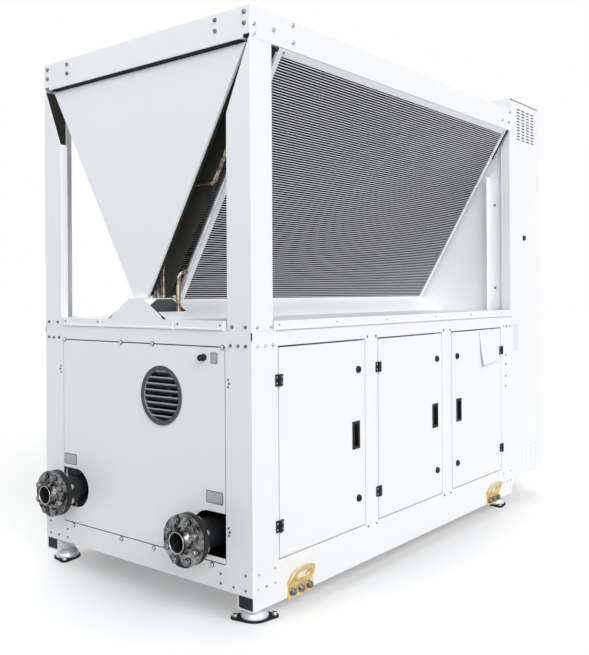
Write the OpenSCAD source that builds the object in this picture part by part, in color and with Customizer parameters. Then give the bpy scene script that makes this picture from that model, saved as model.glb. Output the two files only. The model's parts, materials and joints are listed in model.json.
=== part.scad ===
// Air cooled water chiller: framed base with three service doors, V coils, two roof fans, control cabinet.
// Millimetres. +X runs along the doors to the cabinet, -Y is the door side, Z is up from the floor.

/* [Frame] */
// Length of the framed body, without cabinet and water connections
frame_l = 2150; // [1900:10:2600]
// Width of the framed body
frame_w = 1200; // [1150:10:1400]
// Height of the top beams above the floor
frame_h = 2155; // [2100:5:2400]
// Thickness of folded sheet
sheet_t = 3; // [2:0.5:4]

/* [Base] */
// Height of the seam between base and coil frame
seam_z = 1025; // [950:5:1100]
// Height of the base rail tube
rail_h = 148; // [120:1:180]
// Width of the base rail tube
rail_w = 76; // [74:1:100]
// Wall of the base rail tube
rail_t = 4; // [3:0.5:6]
// Depth of the rail end left open below the end sill
sill_up = 50; // [30:1:70]
// Depth of the inward flange of sills and rails
flange_in = 40; // [25:1:60]
// Width of a base post on the door side
side_post_w = 141.5; // [110:0.5:180]
// Width of a base post on the end
end_post_w = 125; // [90:1:150]
// Width of a mullion between two doors
mullion_w = 92; // [70:1:120]
// Height of the head rail above doors and panels
head_h = 56; // [40:1:80]
// Height of the relief slit in a base post's corner
slit_h = 32; // [20:1:40]
// Width of the relief slit in a base post's corner
slit_w = 4; // [3.5:0.5:6]
// Depth of a removable panel
panel_t = 20; // [12:1:30]
// Gap around a removable panel
panel_gap = 4; // [2:0.5:6]
// Drop of an end panel below the top of the base rails
panel_drop = 4; // [2:1:30]

/* [Feet and lifting] */
// Height of a foot
foot_h = 55; // [45:1:80]
// Thickness of a foot plate
foot_plate_t = 8; // [5:1:12]
// Distance between the two bolt holes of a foot
foot_pcd = 140; // [130:1:160]
// Radius of a foot bolt hole
foot_hole_r = 6; // [4:0.5:7]
// Radius of the foot plate at its middle
foot_r = 56; // [54:1:64]
// Radius of the foot plate at its tips
foot_tip_r = 16; // [12:1:20]
// Radius of the foot cup
foot_cup_r = 50; // [40:1:52]
// Foot axis from the end of the frame
foot_x = 84; // [70:1:120]
// Front foot axis from the side of the frame
foot_y = 66; // [62:1:66]
// Back foot axis from the side of the frame
foot_back_y = 30; // [28:1:66]
// Width of a lifting lug
lug_w = 146; // [120:1:180]
// Thickness of a lifting lug
lug_t = 6; // [5:0.5:10]
// Height of the bolted part of a lug
lug_h = 50; // [40:1:70]
// Length of the bent part of a lug
lug_flap = 72; // [66:1:84]
// Bend of a lug away from the rail, in degrees
lug_bend = 27; // [15:1:40]
// Lug middle from the end of the frame
lug_x = 258; // [220:1:400]
// Width of the slot in a lug
lug_slot_h = 42; // [30:1:46]
// Length of the slot in a lug
lug_slot_w = 78; // [60:1:90]
// Corner radius at the top of a lug
lug_round = 56; // [30:1:60]
// Drop of a lug below the base rail
lug_down = 5; // [0:1:10]
// Slot middle along the bent part of a lug, as a share of its length
lug_slot_at = 0.48; // [0.4:0.01:0.55]

/* [Doors] */
// Gap around a door
door_gap = 6; // [5.5:0.5:8]
// Depth of a door
door_t = 25; // [20:1:35]
// Hinge pin axis in front of the door side
hinge_out = 7; // [7:0.5:9]
// Hinge pin radius
pin_r = 3; // [2.5:0.1:3.5]
// Running clearance of a pin in its bore
pin_clear = 0.2; // [0.15:0.05:0.3]
// Hinge knuckle radius
knuckle_r = 6.5; // [5.5:0.1:6.8]
// Hinge height
hinge_h = 42; // [36:1:60]
// Hinge leaf reach from the pin
leaf_w = 20; // [16:1:24]
// Hinge leaf thickness
leaf_t = 5; // [3:0.5:6]
// Hinge and lock rows from the door's top and bottom edge
hardware_in = 116; // [90:1:150]
// Lock axis from the free edge of a door
lock_in = 49; // [40:1:60]
// Lock head radius
lock_r = 15; // [12:0.5:18]
// Lock head height
lock_h = 8; // [5:0.5:12]
// Lock shank radius
shank_r = 9; // [7:0.5:11]
// Clearance of a fitting in its hole
fit_gap = 0.5; // [0.3:0.1:1]
// Grip width
grip_w = 52; // [44:1:70]
// Grip height
grip_h = 112; // [90:1:140]
// Grip middle from the free edge of a door
grip_in = 66; // [60:1:90]
// Grip middle above the door's bottom edge
grip_z = 374; // [300:1:450]
// Grip rim width
grip_rim = 8; // [6:1:12]
// Depth of the grip pocket
grip_depth = 16; // [10:1:18]
// Wall of the grip
grip_wall = 3; // [2:0.5:4]

/* [Coil frame] */
// Leg width of an upper post
post_w = 115; // [100:1:120]
// Lip depth of an upper post
post_lip = 34; // [20:1:45]
// Front leg width of an upper post at the cabinet end
right_leg = 16; // [14:1:30]
// End leg width of an upper post at the cabinet end
right_end_leg = 129; // [120:1:135]
// Front lip depth of an upper post at the cabinet end
right_lip = 53; // [45:1:60]
// End lip depth of an upper post at the cabinet end
right_end_lip = 40; // [30:1:42]
// Height of the slanted cut at the top of a post
notch_h = 250; // [200:1:300]
// Leg width left at the top of the slanted cut
notch_left = 6; // [4:1:20]
// Height of a top beam
beam_h = 112; // [90:1:140]
// Width of the corner cut under an end beam
beam_cut_w = 33; // [20:1:45]
// Height of the corner cut under an end beam
beam_cut_h = 12; // [8:1:20]
// Flange depth of a top beam
beam_flange = 60; // [45:1:70]
// Height of the deck lip
lip_h = 35; // [25:1:45]
// Gap between the deck lip and the base below it
lip_gap = 1; // [0.5:0.5:3]
// End of a deck lip from the post beside it
lip_end = 13; // [6:1:20]
// Height of the hem along a deck lip
hem_h = 7; // [5:1:10]
// Hem in front of the deck lip
hem_out = 4; // [3:0.5:6]
// Half width of the V foot plate
v_foot_half = 210; // [190:1:240]
// Half width of the V foot plate above the lip
v_foot_step = 155; // [140:1:180]
// Height of the slanted step of the V foot plate
v_foot_rise = 17; // [10:1:25]
// Gap beside the V foot plate
v_foot_gap = 8; // [4:1:12]
// Height of the coil ridge above the deck
ridge_h = 81; // [70:1:100]
// Half width of the ridge top
ridge_top = 41; // [38:1:50]
// Length of the pipe cut in the ridge's sides, from the water end
ridge_cut_l = 148; // [135:1:160]
// Depth of the pipe cut below the ridge top
ridge_cut_h = 52; // [40:1:56]

/* [Coils] */
// Depth of a coil
coil_t = 32; // [25:1:36]
// Outer top edge of a coil from the side of the frame
coil_in = 12; // [8:1:40]
// Outer face of a coil from the middle of the width, at the ridge top
coil_foot = 70; // [68:1:90]
// Coil end from the water end of the frame
coil_left = 162; // [155:1:200]
// Coil end from the cabinet end of the frame
coil_right = 56; // [54:1:80]
// Pitch of the flat tubes
tube_pitch = 10; // [9:0.5:14]
// Height of a flat tube
tube_h = 4.5; // [2:0.5:5]
// Setback of the fins behind the tube edges
fin_back = 3; // [2:0.5:6]
// Height of the channel at the top and bottom of a coil
coil_rail_h = 8; // [6:1:35]
// Radius of a coil header
header_r = 13; // [10:0.5:16]
// Depth of an end panel's folded edge
v_fold = 22; // [15:1:31]
// V panel plane behind the end of the frame
v_back = 22; // [5:1:23]
// Gap between the V panel and the line of the coils' inner faces
v_gap = 4; // [3:0.5:8]
// Gap between the V panel and the beam over it
v_top_gap = 7; // [4:0.5:12]
// Inset of the dark baffle from the V panel's outline
baffle_in = 22; // [20:1:40]
// Refrigerant pipe radius
gas_r = 9; // [7:0.5:11]
// Bend radius of a refrigerant pipe
gas_bend = 28; // [24:1:36]
// Refrigerant pipe plane from the water end of the frame
gas_x = 118; // [105:1:125]
// Height of the lower refrigerant joint above the ridge top
gas_low = 104; // [90:1:200]
// Height of the level refrigerant run above the ridge top
gas_high = 437; // [350:1:550]
// Length of the refrigerant run beside the coil
gas_slope = 160; // [100:1:250]
// Distance of a refrigerant riser from the middle of the width
riser_y = 26; // [20:1:30]
// Socket length of a brazed joint
socket_l = 14; // [10:1:20]
// Socket wall of a brazed joint
socket_t = 1.5; // [1.2:0.1:2]

/* [Fans] */
// Fan diameter inside the collar
fan_d = 800; // [700:5:900]
// Collar wall
collar_t = 5; // [4:1:8]
// Collar height above the roof
collar_up = 42; // [30:1:46]
// Collar depth below the roof
collar_down = 50; // [30:1:60]
// Hub radius
hub_r = 115; // [90:1:140]
// Number of blades
blades = 7; // [5:1:9]
// Pitch of a blade, in degrees
blade_a = 24; // [16:1:30]
// Blade thickness
blade_t = 6; // [5:0.5:8]
// Share of the hub's rim taken by the blade roots
blade_fill = 0.8; // [0.6:0.05:0.9]
// Gap between blade tip and collar
tip_gap = 8; // [6:1:15]
// Guard wire width
wire = 6; // [5:0.5:8]
// Number of guard rings
rings = 9; // [7:1:12]
// Number of guard spokes
spokes = 8; // [6:1:12]

/* [Water connections] */
// Distance of a pipe axis from the side of the frame
water_side = 214; // [206:1:250]
// Height of the front pipe axis
water_front_z = 297; // [290:1:330]
// Height of the back pipe axis
water_back_z = 346; // [330:1:400]
// Outer radius of an insulated water pipe
water_r = 55; // [50:0.5:60]
// Wall of a water pipe with its insulation
water_t = 15; // [12:0.5:18]
// Bend radius of a water pipe
water_bend = 90; // [80:1:120]
// Length of a water pipe inside the end
water_in = 290; // [240:1:340]
// Flange radius
flange_r = 92.5; // [85:0.5:110]
// Flange thickness
flange_t = 20; // [16:1:24]
// Gasket thickness
gasket_t = 3; // [2:0.5:4]
// Outer face of the flange in front of the end
flange_out = 131; // [100:1:150]
// Neck length beyond the flange face
neck_l = 25; // [20:1:50]
// Neck radius at its end
neck_r = 38; // [37:0.5:40]
// Neck radius at the flange
neck_root_r = 48; // [42:0.5:54]
// Bore radius of the neck and flange
bore_r = 35; // [32:0.5:35]
// Bolt circle diameter of a flange
flange_pcd = 145; // [140:1:170]
// Bolt hole radius of a flange
flange_hole_r = 9; // [7:0.5:11]
// Bolts in a flange
flange_bolts = 8; // [4:4:8]
// Radius of the panel cut around a water pipe
cut_r = 80; // [70:1:86]

/* [End panel fittings] */
// Vent middle from the middle of the end
vent_y = -144; // [-200:1:200]
// Vent middle height
vent_z = 773; // [600:1:800]
// Vent outer radius
vent_r = 113; // [80:1:130]
// Vent rim width
vent_rim = 16; // [10:1:24]
// Vent slats
vent_slats = 8; // [5:1:10]
// Vent rim height in front of the panel
vent_out = 6; // [3:0.5:10]
// Gland middle from the front edge of the end panel
gland_in = 101; // [60:1:160]
// Gland middle height
gland_z = 927; // [850:1:935]
// Gland radius
gland_r = 14; // [8:0.5:16]

/* [Cabinet] */
// Depth of the cabinet
cabinet_d = 400; // [300:5:500]
// Rise of the cabinet above the top beams
cabinet_up = 70; // [50:1:100]
// Height of the cabinet's underside
cabinet_z = 122; // [100:1:160]
// Shadow gap under the cabinet's cap
cap_gap = 5; // [3:0.5:8]
// Depth of the cabinet cover
cover_t = 25; // [20:1:35]
// Slot columns of a louvre
slot_cols = 4; // [3:1:5]
// Slot rows of a louvre
slot_rows = 11; // [6:1:12]
// Slot length
slot_w = 44; // [30:1:50]
// Slot height
slot_h = 6; // [4:0.5:8]
// Slot column pitch
slot_px = 64; // [55:1:70]
// Slot row pitch
slot_pz = 16.5; // [12:0.5:18]
// Upper louvre middle below the cabinet top
louvre_down = 130; // [115:1:200]
// Lower louvre middle above the cabinet's underside
louvre_up = 115; // [105:1:200]
// Height of the lock on the cabinet side
cabinet_lock_z = 1463; // [1200:1:1700]

/* [Machine room] */
// Evaporator length
evap_l = 300; // [200:5:340]
// Evaporator width
evap_w = 420; // [300:5:440]
// Evaporator height
evap_h = 560; // [400:5:700]
// Compressor radius
comp_r = 125; // [100:1:150]
// Compressor height
comp_h = 480; // [350:5:600]
// Pitch of the two compressors
comp_pitch = 420; // [330:5:500]
// Compressor row behind the middle of the width
comp_y = 200; // [150:5:260]

/* [Hidden] */
$fn = 48;
over = 1;
white = [0.93, 0.93, 0.94];
black = [0.1, 0.1, 0.11];
steel = [0.66, 0.67, 0.68];
grey = [0.3, 0.3, 0.31];
alu = [0.76, 0.77, 0.78];
copper = [0.6, 0.42, 0.32];
zinc_yellow = [0.87, 0.74, 0.4];

reach = flange_out + neck_l;
x_l = reach - (reach + frame_l + cabinet_d) / 2;
x_r = x_l + frame_l;
y_f = -frame_w / 2;
water_y = frame_w / 2 - water_side;
water_back = flange_out - flange_t - gasket_t;
gasket_in = 2;
rail_top = foot_h + rail_h;
head_z = seam_z - head_h;
deck_z = seam_z + lip_h;
beam_z = frame_h - beam_h;
roof_z = frame_h + sheet_t;

// Door openings
opening_w = (frame_l - 2 * side_post_w - 2 * mullion_w) / 3;
opening_pitch = opening_w + mullion_w;
door_w = opening_w - 2 * door_gap;
door_z = rail_top + door_gap;
door_h = head_z - door_gap - door_z;
first_x = x_l + side_post_w;
hinge_zs = [door_z + hardware_in, door_z + door_h - hardware_in];
knuckle_h = hinge_h / 3;
knuckle_gap = 0.5;
door_free = door_gap / 2 + door_w;
lock_x = door_free - lock_in;
grip_x = door_free - grip_in;

// End panels and the fittings on them
end_panel_w = frame_w - 2 * end_post_w - 2 * panel_gap;
end_panel_z = rail_top - panel_drop;
end_panel_h = head_z - end_panel_z - panel_gap;
gland_y = gland_in - end_panel_w / 2;
gland_shank_r = gland_r * 0.6;

// Coil section: top outer corner, slope length, ends
ridge_z = deck_z + ridge_h;
coil_wrap = 2;
coil_y = frame_w / 2 - coil_in;
steepest = atan((coil_y - coil_foot) / (beam_z - ridge_z)) + 1;
coil_z = beam_z - (coil_t + coil_wrap) * sin(steepest) - 1;
coil_a = atan((coil_y - coil_foot) / (coil_z - ridge_z));
coil_len = (coil_y - ridge_top) * sin(coil_a) + (coil_z - ridge_z) * cos(coil_a) - 0.3;
coil_x1 = x_l + coil_left;
coil_x2 = x_r - coil_right;
core_x1 = coil_x1 + 2 * header_r + fit_gap;
core_x2 = coil_x2 - 2 * header_r - fit_gap;
core_len = coil_len - 2 * coil_rail_h;
tubes = floor((core_len - tube_h) / tube_pitch);
tube_start = (core_len - tubes * tube_pitch - tube_h) / 2;
v_half = ridge_top + (beam_z - ridge_z) * tan(coil_a) - v_gap;
ridge_foot = ridge_top + ridge_h / tan(coil_a);
deck_edge = post_w + lip_end;

fan_z = roof_z + collar_up;
fan_xs = [x_l + frame_l / 4, x_l + frame_l * 3 / 4];
hub_drop = 10;
hub_h = collar_up + collar_down - hub_drop;
cabinet_top = frame_h + cabinet_up;
pan_z = foot_h + sill_up + sheet_t;
pan_top = pan_z + sheet_t;
evap_x = x_l + water_in + water_bend - evap_l / 2;
comp_x = first_x + opening_pitch + opening_w / 2;

// Draws children from a frame corner inwards, along +X and +Y.
module corner(sx, sy) {
    translate([sx < 0 ? x_l : x_r, sy * frame_w / 2, 0])
        mirror([sx > 0 ? 1 : 0, 0, 0])
            mirror([0, sy > 0 ? 1 : 0, 0])
                children();
}

module each_corner() {
    for (sx = [-1, 1], sy = [-1, 1]) corner(sx, sy) children();
}

module both_sides() {
    for (s = [0, 1]) mirror([0, s, 0]) children();
}

// Draws children from an end of the frame inwards along +X, about the middle of the width.
module both_ends() {
    for (s = [0, 1]) translate([s == 0 ? x_l : x_r, 0, 0]) mirror([s, 0, 0]) children();
}

// Angle with folded lips, outer corner at the origin.
module lipped_angle(a, b, lip_a, lip_b) {
    square([a, sheet_t]);
    square([sheet_t, b]);
    translate([a - sheet_t, 0]) square([sheet_t, lip_a]);
    translate([0, b - sheet_t]) square([lip_b, sheet_t]);
}

// Channel of length l along +X, web on the XZ plane, flanges towards +Y.
module channel(l, h, flange) {
    difference() {
        cube([l, flange, h]);
        translate([-over, sheet_t, sheet_t]) cube([l + 2 * over, flange, h - 2 * sheet_t]);
    }
}

// Sheet pan on the XZ plane, skin at y = 0, folded edges towards +Y.
module pan(w, d, h) {
    difference() {
        cube([w, d, h]);
        translate([sheet_t, sheet_t, sheet_t]) cube([w - 2 * sheet_t, d, h - 2 * sheet_t]);
    }
}

// Puts a pan drawn along +X onto an end, facing outwards.
module on_end(y) {
    translate([0, y, 0]) mirror([0, 1, 0]) rotate([0, 0, -90]) children();
}

module base_rails() color(white) both_sides()
    translate([x_l + sheet_t, y_f, foot_h]) difference() {
        l = frame_l - 2 * sheet_t;
        cube([l, rail_w, rail_h]);
        translate([-over, rail_t, rail_t]) cube([l + 2 * over, rail_w - 2 * rail_t, rail_h - 2 * rail_t]);
    }

module end_sills() color(white) both_ends() {
    z = foot_h + sill_up;
    translate([0, y_f, z]) cube([sheet_t, frame_w, end_panel_z - z]);
    both_sides() translate([0, y_f, z]) cube([sheet_t, end_post_w, rail_top - z]);
    translate([0, y_f + rail_w, z]) cube([flange_in, frame_w - 2 * rail_w, sheet_t]);
}

module floor_pan() color(steel)
    translate([x_l + sheet_t, y_f + rail_w, pan_z])
        cube([frame_l - 2 * sheet_t, frame_w - 2 * rail_w, sheet_t]);

module foot_at() {
    for (sx = [-1, 1], sy = [-1, 1]) corner(sx, sy)
        translate([foot_x, sy < 0 ? foot_y : foot_back_y, 0]) rotate([0, 0, -45]) children();
}

module foot_plates() color(black) foot_at() difference() {
    linear_extrude(foot_plate_t) hull() {
        circle(foot_r);
        for (s = [-1, 1]) translate([s * foot_pcd / 2, 0]) circle(foot_tip_r);
    }
    for (s = [-1, 1]) translate([s * foot_pcd / 2, 0, -over])
        cylinder(r = foot_hole_r, h = foot_plate_t + 2 * over);
}

module foot_cups() color(steel) foot_at() rotate_extrude() {
    rise = foot_h - foot_plate_t;
    translate([0, foot_plate_t]) polygon([
        [0, 0], [foot_cup_r, 0], [foot_cup_r, rise * 0.12], [foot_cup_r * 0.93, rise * 0.4],
        [foot_cup_r * 0.76, rise * 0.62], [foot_cup_r * 0.5, rise * 0.78], [foot_cup_r * 0.2, rise * 0.84],
        [foot_cup_r * 0.2, rise], [0, rise]
    ]);
}

// Lug section, seen from the end: bolted part on the rail, flap leaning outwards.
module lug_section() {
    dy = lug_flap * sin(lug_bend);
    dz = lug_flap * cos(lug_bend);
    k = lug_t * tan(lug_bend / 2);
    polygon([
        [0, 0], [0, lug_h], [-dy, lug_h + dz],
        [-dy - lug_t * cos(lug_bend), lug_h + dz - lug_t * sin(lug_bend)],
        [-lug_t, lug_h - k], [-lug_t, 0]
    ]);
}

// Rounded outline of a lug, seen from the side.
module lug_outline() {
    top = lug_h + lug_flap * cos(lug_bend);
    difference() {
        square([lug_w, top]);
        for (m = [0, 1]) translate([m * lug_w, 0]) mirror([m, 0]) difference() {
            translate([-over, top - lug_round]) square([lug_round + over, lug_round + over]);
            translate([lug_round, top - lug_round]) circle(lug_round);
        }
    }
}

module lug_slot() {
    straight = lug_slot_w - lug_slot_h;
    depth = lug_t + 2 * over;
    translate([-straight / 2, -lug_slot_h / 2, 0]) cube([straight, lug_slot_h, depth]);
    for (m = [-1, 1]) translate([m * straight / 2, 0, 0]) cylinder(d = lug_slot_h, h = depth);
}

module lug() difference() {
    intersection() {
        rotate([90, 0, 90]) linear_extrude(lug_w) lug_section();
        translate([0, over, 0]) rotate([90, 0, 0]) linear_extrude(lug_flap + lug_t) lug_outline();
    }
    translate([lug_w / 2, 0, lug_h]) rotate([lug_bend, 0, 0]) translate([0, over, lug_flap * lug_slot_at])
        rotate([90, 0, 0]) lug_slot();
}

module lifting_lugs() color(zinc_yellow) each_corner()
    translate([lug_x - lug_w / 2, 0, foot_h - lug_down]) lug();

module base_posts() color(white) each_corner() difference() {
    translate([0, 0, rail_top]) linear_extrude(seam_z - rail_top)
        lipped_angle(side_post_w, end_post_w, panel_t, panel_t);
    translate([-over, -over, seam_z - slit_h - slit_w])
        cube([slit_w + over, slit_w + over, slit_h]);
}

module mullions() {
    for (i = [1, 2]) translate([first_x + i * opening_pitch - mullion_w, y_f, rail_top])
        difference() {
            cube([mullion_w, flange_in, head_z - rail_top]);
            translate([sheet_t, sheet_t, -over])
                cube([mullion_w - 2 * sheet_t, flange_in, head_z - rail_top + 2 * over]);
        }
}

module front_mullions() color(white) mullions();

module back_mullions() color(white) mirror([0, 1, 0]) mullions();

module side_head_rails() color(white) both_sides()
    translate([first_x, y_f, head_z]) channel(frame_l - 2 * side_post_w, head_h, flange_in);

module end_head_rails() color(white) both_ends()
    translate([0, 0, head_z]) on_end(y_f + end_post_w) channel(frame_w - 2 * end_post_w, head_h, flange_in);

module back_panels() color(white) mirror([0, 1, 0])
    for (i = [0:2]) translate([first_x + i * opening_pitch + panel_gap, y_f, rail_top])
        pan(opening_w - 2 * panel_gap, panel_t, head_z - rail_top - panel_gap);

module end_panel() {
    translate([0, 0, end_panel_z]) on_end(-end_panel_w / 2) pan(end_panel_w, panel_t, end_panel_h);
}

// Cut in the end panel around a water pipe, open to the panel's side edge.
module pipe_cut(z, s) {
    translate([-over, s * water_y, z]) {
        depth = panel_t + 2 * over;
        rotate([0, 90, 0]) cylinder(r = cut_r, h = depth);
        mirror([0, s < 0 ? 1 : 0, 0]) translate([0, 0, -cut_r]) cube([depth, end_post_w, 2 * cut_r]);
    }
}

module left_end_panel() color(white) translate([x_l, 0, 0]) difference() {
    end_panel();
    pipe_cut(water_front_z, -1);
    pipe_cut(water_back_z, 1);
    translate([-over, vent_y, vent_z]) rotate([0, 90, 0])
        cylinder(r = vent_r - vent_rim / 2, h = panel_t);
    translate([-over, gland_y, gland_z]) rotate([0, 90, 0])
        cylinder(r = gland_shank_r + fit_gap, h = panel_t);
}

module right_end_panel() color(white) translate([x_r, 0, 0]) mirror([1, 0, 0]) end_panel();

module vent_grille() color(grey) translate([x_l, vent_y, vent_z]) rotate([0, 90, 0]) {
    in_r = vent_r - vent_rim;
    body_r = vent_r - vent_rim / 2 - fit_gap;
    difference() {
        union() {
            translate([0, 0, -vent_out]) cylinder(r = vent_r, h = vent_out);
            cylinder(r = body_r, h = panel_t);
        }
        translate([0, 0, -vent_out - over]) cylinder(r = in_r, h = panel_t + vent_out + 2 * over);
    }
    pitch = 2 * in_r / vent_slats;
    intersection() {
        translate([0, 0, -vent_out / 2]) cylinder(r = in_r + vent_rim / 4, h = panel_t);
        for (i = [0:vent_slats - 1]) translate([(i + 0.5) * pitch - in_r, 0, panel_t / 2 - vent_out / 2])
            rotate([0, 40, 0]) cube([sheet_t, 2 * vent_r, panel_t + vent_out], center = true);
    }
}

module cable_gland() color(black) translate([x_l, gland_y, gland_z]) rotate([0, 90, 0]) {
    nut_h = gland_r * 0.6;
    cap_r = gland_r * 0.85;
    nose_h = gland_r * 0.4;
    cylinder(r = gland_shank_r, h = panel_t);
    translate([0, 0, -nut_h]) cylinder(r = gland_r, h = nut_h, $fn = 6);
    translate([0, 0, -nut_h - gland_r]) cylinder(r = cap_r, h = gland_r);
    translate([0, 0, -nut_h - gland_r - nose_h]) cylinder(r1 = gland_shank_r, r2 = cap_r, h = nose_h);
}

// Draws children at a door's pin axis, with the free edge along +X.
module at_door(i) {
    s = i == 2 ? 1 : 0;
    edge = first_x + i * opening_pitch + (s == 0 ? door_gap / 2 : opening_w - door_gap / 2);
    translate([edge, y_f, 0]) mirror([s, 0, 0]) children();
}

// Hinge leaf on +X of the pin; owns the knuckles whose numbers are listed.
module hinge_leaf(owned) {
    clear_x = knuckle_r + knuckle_gap;
    difference() {
        union() {
            translate([clear_x, -leaf_t, 0]) cube([leaf_w - clear_x, leaf_t, hinge_h]);
            for (k = owned) translate([0, -hinge_out, k * knuckle_h + (k == 0 ? 0 : knuckle_gap)]) {
                h = knuckle_h - (k == 1 ? 2 : 1) * knuckle_gap;
                cylinder(r = knuckle_r, h = h);
                translate([0, hinge_out - leaf_t, 0]) cube([clear_x + over, leaf_t - knuckle_gap, h]);
            }
        }
        translate([0, -hinge_out, -over]) cylinder(r = pin_r + pin_clear, h = hinge_h + 2 * over);
    }
}

module frame_hinges() color(black) for (i = [0:2]) at_door(i)
    for (z = hinge_zs) translate([0, 0, z - hinge_h / 2]) {
        mirror([1, 0, 0]) hinge_leaf([0, 2]);
        translate([0, -hinge_out, 0]) cylinder(r = pin_r, h = hinge_h);
        for (k = [0, 2]) translate([0, -hinge_out, k * knuckle_h + (k == 0 ? 0 : knuckle_gap)])
            cylinder(r = pin_r + pin_clear, h = knuckle_h - knuckle_gap);
    }

module door(i) color(white) at_door(i) difference() {
    translate([door_gap / 2, 0, door_z]) pan(door_w, door_t, door_h);
    for (z = hinge_zs) translate([lock_x, -over, z]) rotate([-90, 0, 0])
        cylinder(r = shank_r + fit_gap, h = sheet_t + 2 * over);
    hole_w = grip_w - 2 * grip_rim + 2 * fit_gap;
    hole_h = grip_h - 2 * grip_rim + 2 * fit_gap;
    translate([grip_x - hole_w / 2, -over, door_z + grip_z - hole_h / 2])
        cube([hole_w, sheet_t + 2 * over, hole_h]);
}

module grip() {
    in_w = grip_w - 2 * grip_rim;
    in_h = grip_h - 2 * grip_rim;
    wall = grip_wall;
    difference() {
        union() {
            translate([-grip_w / 2, -wall, -grip_h / 2]) cube([grip_w, wall, grip_h]);
            translate([-in_w / 2, 0, -in_h / 2]) cube([in_w, grip_depth + wall, in_h]);
        }
        translate([wall - in_w / 2, -wall - over, wall - in_h / 2])
            cube([in_w - 2 * wall, grip_depth + wall + over, in_h - 2 * wall]);
    }
}

module lock() rotate([90, 0, 0]) {
    nut_h = 5;
    difference() {
        union() {
            cylinder(r1 = lock_r, r2 = lock_r - 2, h = lock_h);
            translate([0, 0, -sheet_t - nut_h]) cylinder(r = shank_r, h = sheet_t + nut_h);
            translate([0, 0, -sheet_t - nut_h]) cylinder(r = lock_r - 1, h = nut_h);
        }
        translate([-lock_r * 0.55, -2, lock_h - 4]) cube([lock_r * 1.1, 4, 4 + over]);
    }
}

module door_fittings(i) color(black) at_door(i) {
    for (z = hinge_zs) {
        translate([0, 0, z - hinge_h / 2]) hinge_leaf([1]);
        translate([lock_x, 0, z]) lock();
    }
    translate([grip_x, 0, door_z + grip_z]) grip();
}

module door_1() door(0);

module door_2() door(1);

module door_3() door(2);

module door_1_fittings() door_fittings(0);

module door_2_fittings() door_fittings(1);

module door_3_fittings() door_fittings(2);

// Cut in a corner of the deck around a post that takes a by b.
module post_cut(a, b) {
    translate([-over, -over, seam_z - over])
        cube([a + panel_gap + over, b + panel_gap + over, lip_h + 2 * over]);
}

module deck_pan() color(white) difference() {
    translate([x_l, y_f, seam_z]) cube([frame_l, frame_w, lip_h]);
    translate([x_l + sheet_t, y_f + sheet_t, seam_z - over])
        cube([frame_l - 2 * sheet_t, frame_w - 2 * sheet_t, lip_h - sheet_t + over]);
    for (s = [-1, 1]) {
        corner(-1, s) post_cut(post_w, post_w);
        corner(1, s) post_cut(right_end_lip, right_end_leg);
    }
}

// Folded lip of length l along +X on the XZ plane, facing -Y, hemmed at its lower edge.
module lip(l) {
    translate([0, -sheet_t, lip_gap]) cube([l, sheet_t, lip_h - lip_gap]);
    translate([hem_h / 2, -sheet_t - hem_out, lip_gap]) cube([l - hem_h, sheet_t + hem_out, hem_h]);
}

module deck_lips() color(white) {
    both_sides() translate([x_l + deck_edge, y_f, seam_z]) lip(frame_l - deck_edge - panel_gap);
    both_sides() translate([x_l, 0, seam_z]) on_end(y_f + deck_edge)
        lip(frame_w / 2 - deck_edge - v_foot_half - v_foot_gap);
}

module v_foot_plate() color(white) translate([x_l - sheet_t, 0, seam_z]) {
    rotate([90, 0, 90]) linear_extrude(sheet_t) polygon([
        [-v_foot_half, lip_gap], [v_foot_half, lip_gap], [v_foot_half, lip_h], [v_foot_step, lip_h],
        [v_foot_step - v_foot_rise, lip_h + v_foot_rise], [ridge_top, lip_h + ridge_h],
        [-ridge_top, lip_h + ridge_h], [v_foot_rise - v_foot_step, lip_h + v_foot_rise],
        [-v_foot_step, lip_h], [-v_foot_half, lip_h]
    ]);
    translate([-hem_out, hem_h / 2 - v_foot_half, lip_gap])
        cube([hem_out + sheet_t, 2 * v_foot_half - hem_h, hem_h]);
}

// Ridge between the coils, cut open on both sides at the water end for the refrigerant pipes.
module coil_ridge() color(white) difference() {
    translate([x_l, 0, deck_z]) rotate([90, 0, 90]) linear_extrude(frame_l) difference() {
        polygon([[-ridge_foot, 0], [ridge_foot, 0], [ridge_top, ridge_h], [-ridge_top, ridge_h]]);
        k = sheet_t / sin(coil_a);
        polygon([
            [-ridge_foot + k, 0], [ridge_foot - k, 0], [ridge_top - sheet_t, ridge_h - sheet_t],
            [-ridge_top + sheet_t, ridge_h - sheet_t]
        ]);
    }
    both_sides() translate([x_l - over, -ridge_foot, ridge_z - ridge_cut_h])
        cube([ridge_cut_l + over, ridge_foot - ridge_top, ridge_cut_h + over]);
}

// Upper post with a front leg a, an end leg b, their lips, and a slanted cut at the top of the end leg.
module upper_post(a, b, lip_a, lip_b) {
    h = beam_z - seam_z;
    translate([0, 0, seam_z]) difference() {
        linear_extrude(h) lipped_angle(a, b, lip_a, lip_b);
        translate([-over, 0, 0]) rotate([90, 0, 90]) linear_extrude(lip_b + 2 * over) polygon([
            [b, h - notch_h], [b + over, h - notch_h], [b + over, h + over],
            [notch_left, h + over], [notch_left, h]
        ]);
    }
}

module left_posts() color(white) for (s = [-1, 1]) corner(-1, s)
    upper_post(post_w, post_w, post_lip, post_lip);

module right_posts() color(white) for (s = [-1, 1]) corner(1, s)
    upper_post(right_leg, right_end_leg, right_lip, right_end_lip);

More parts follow.
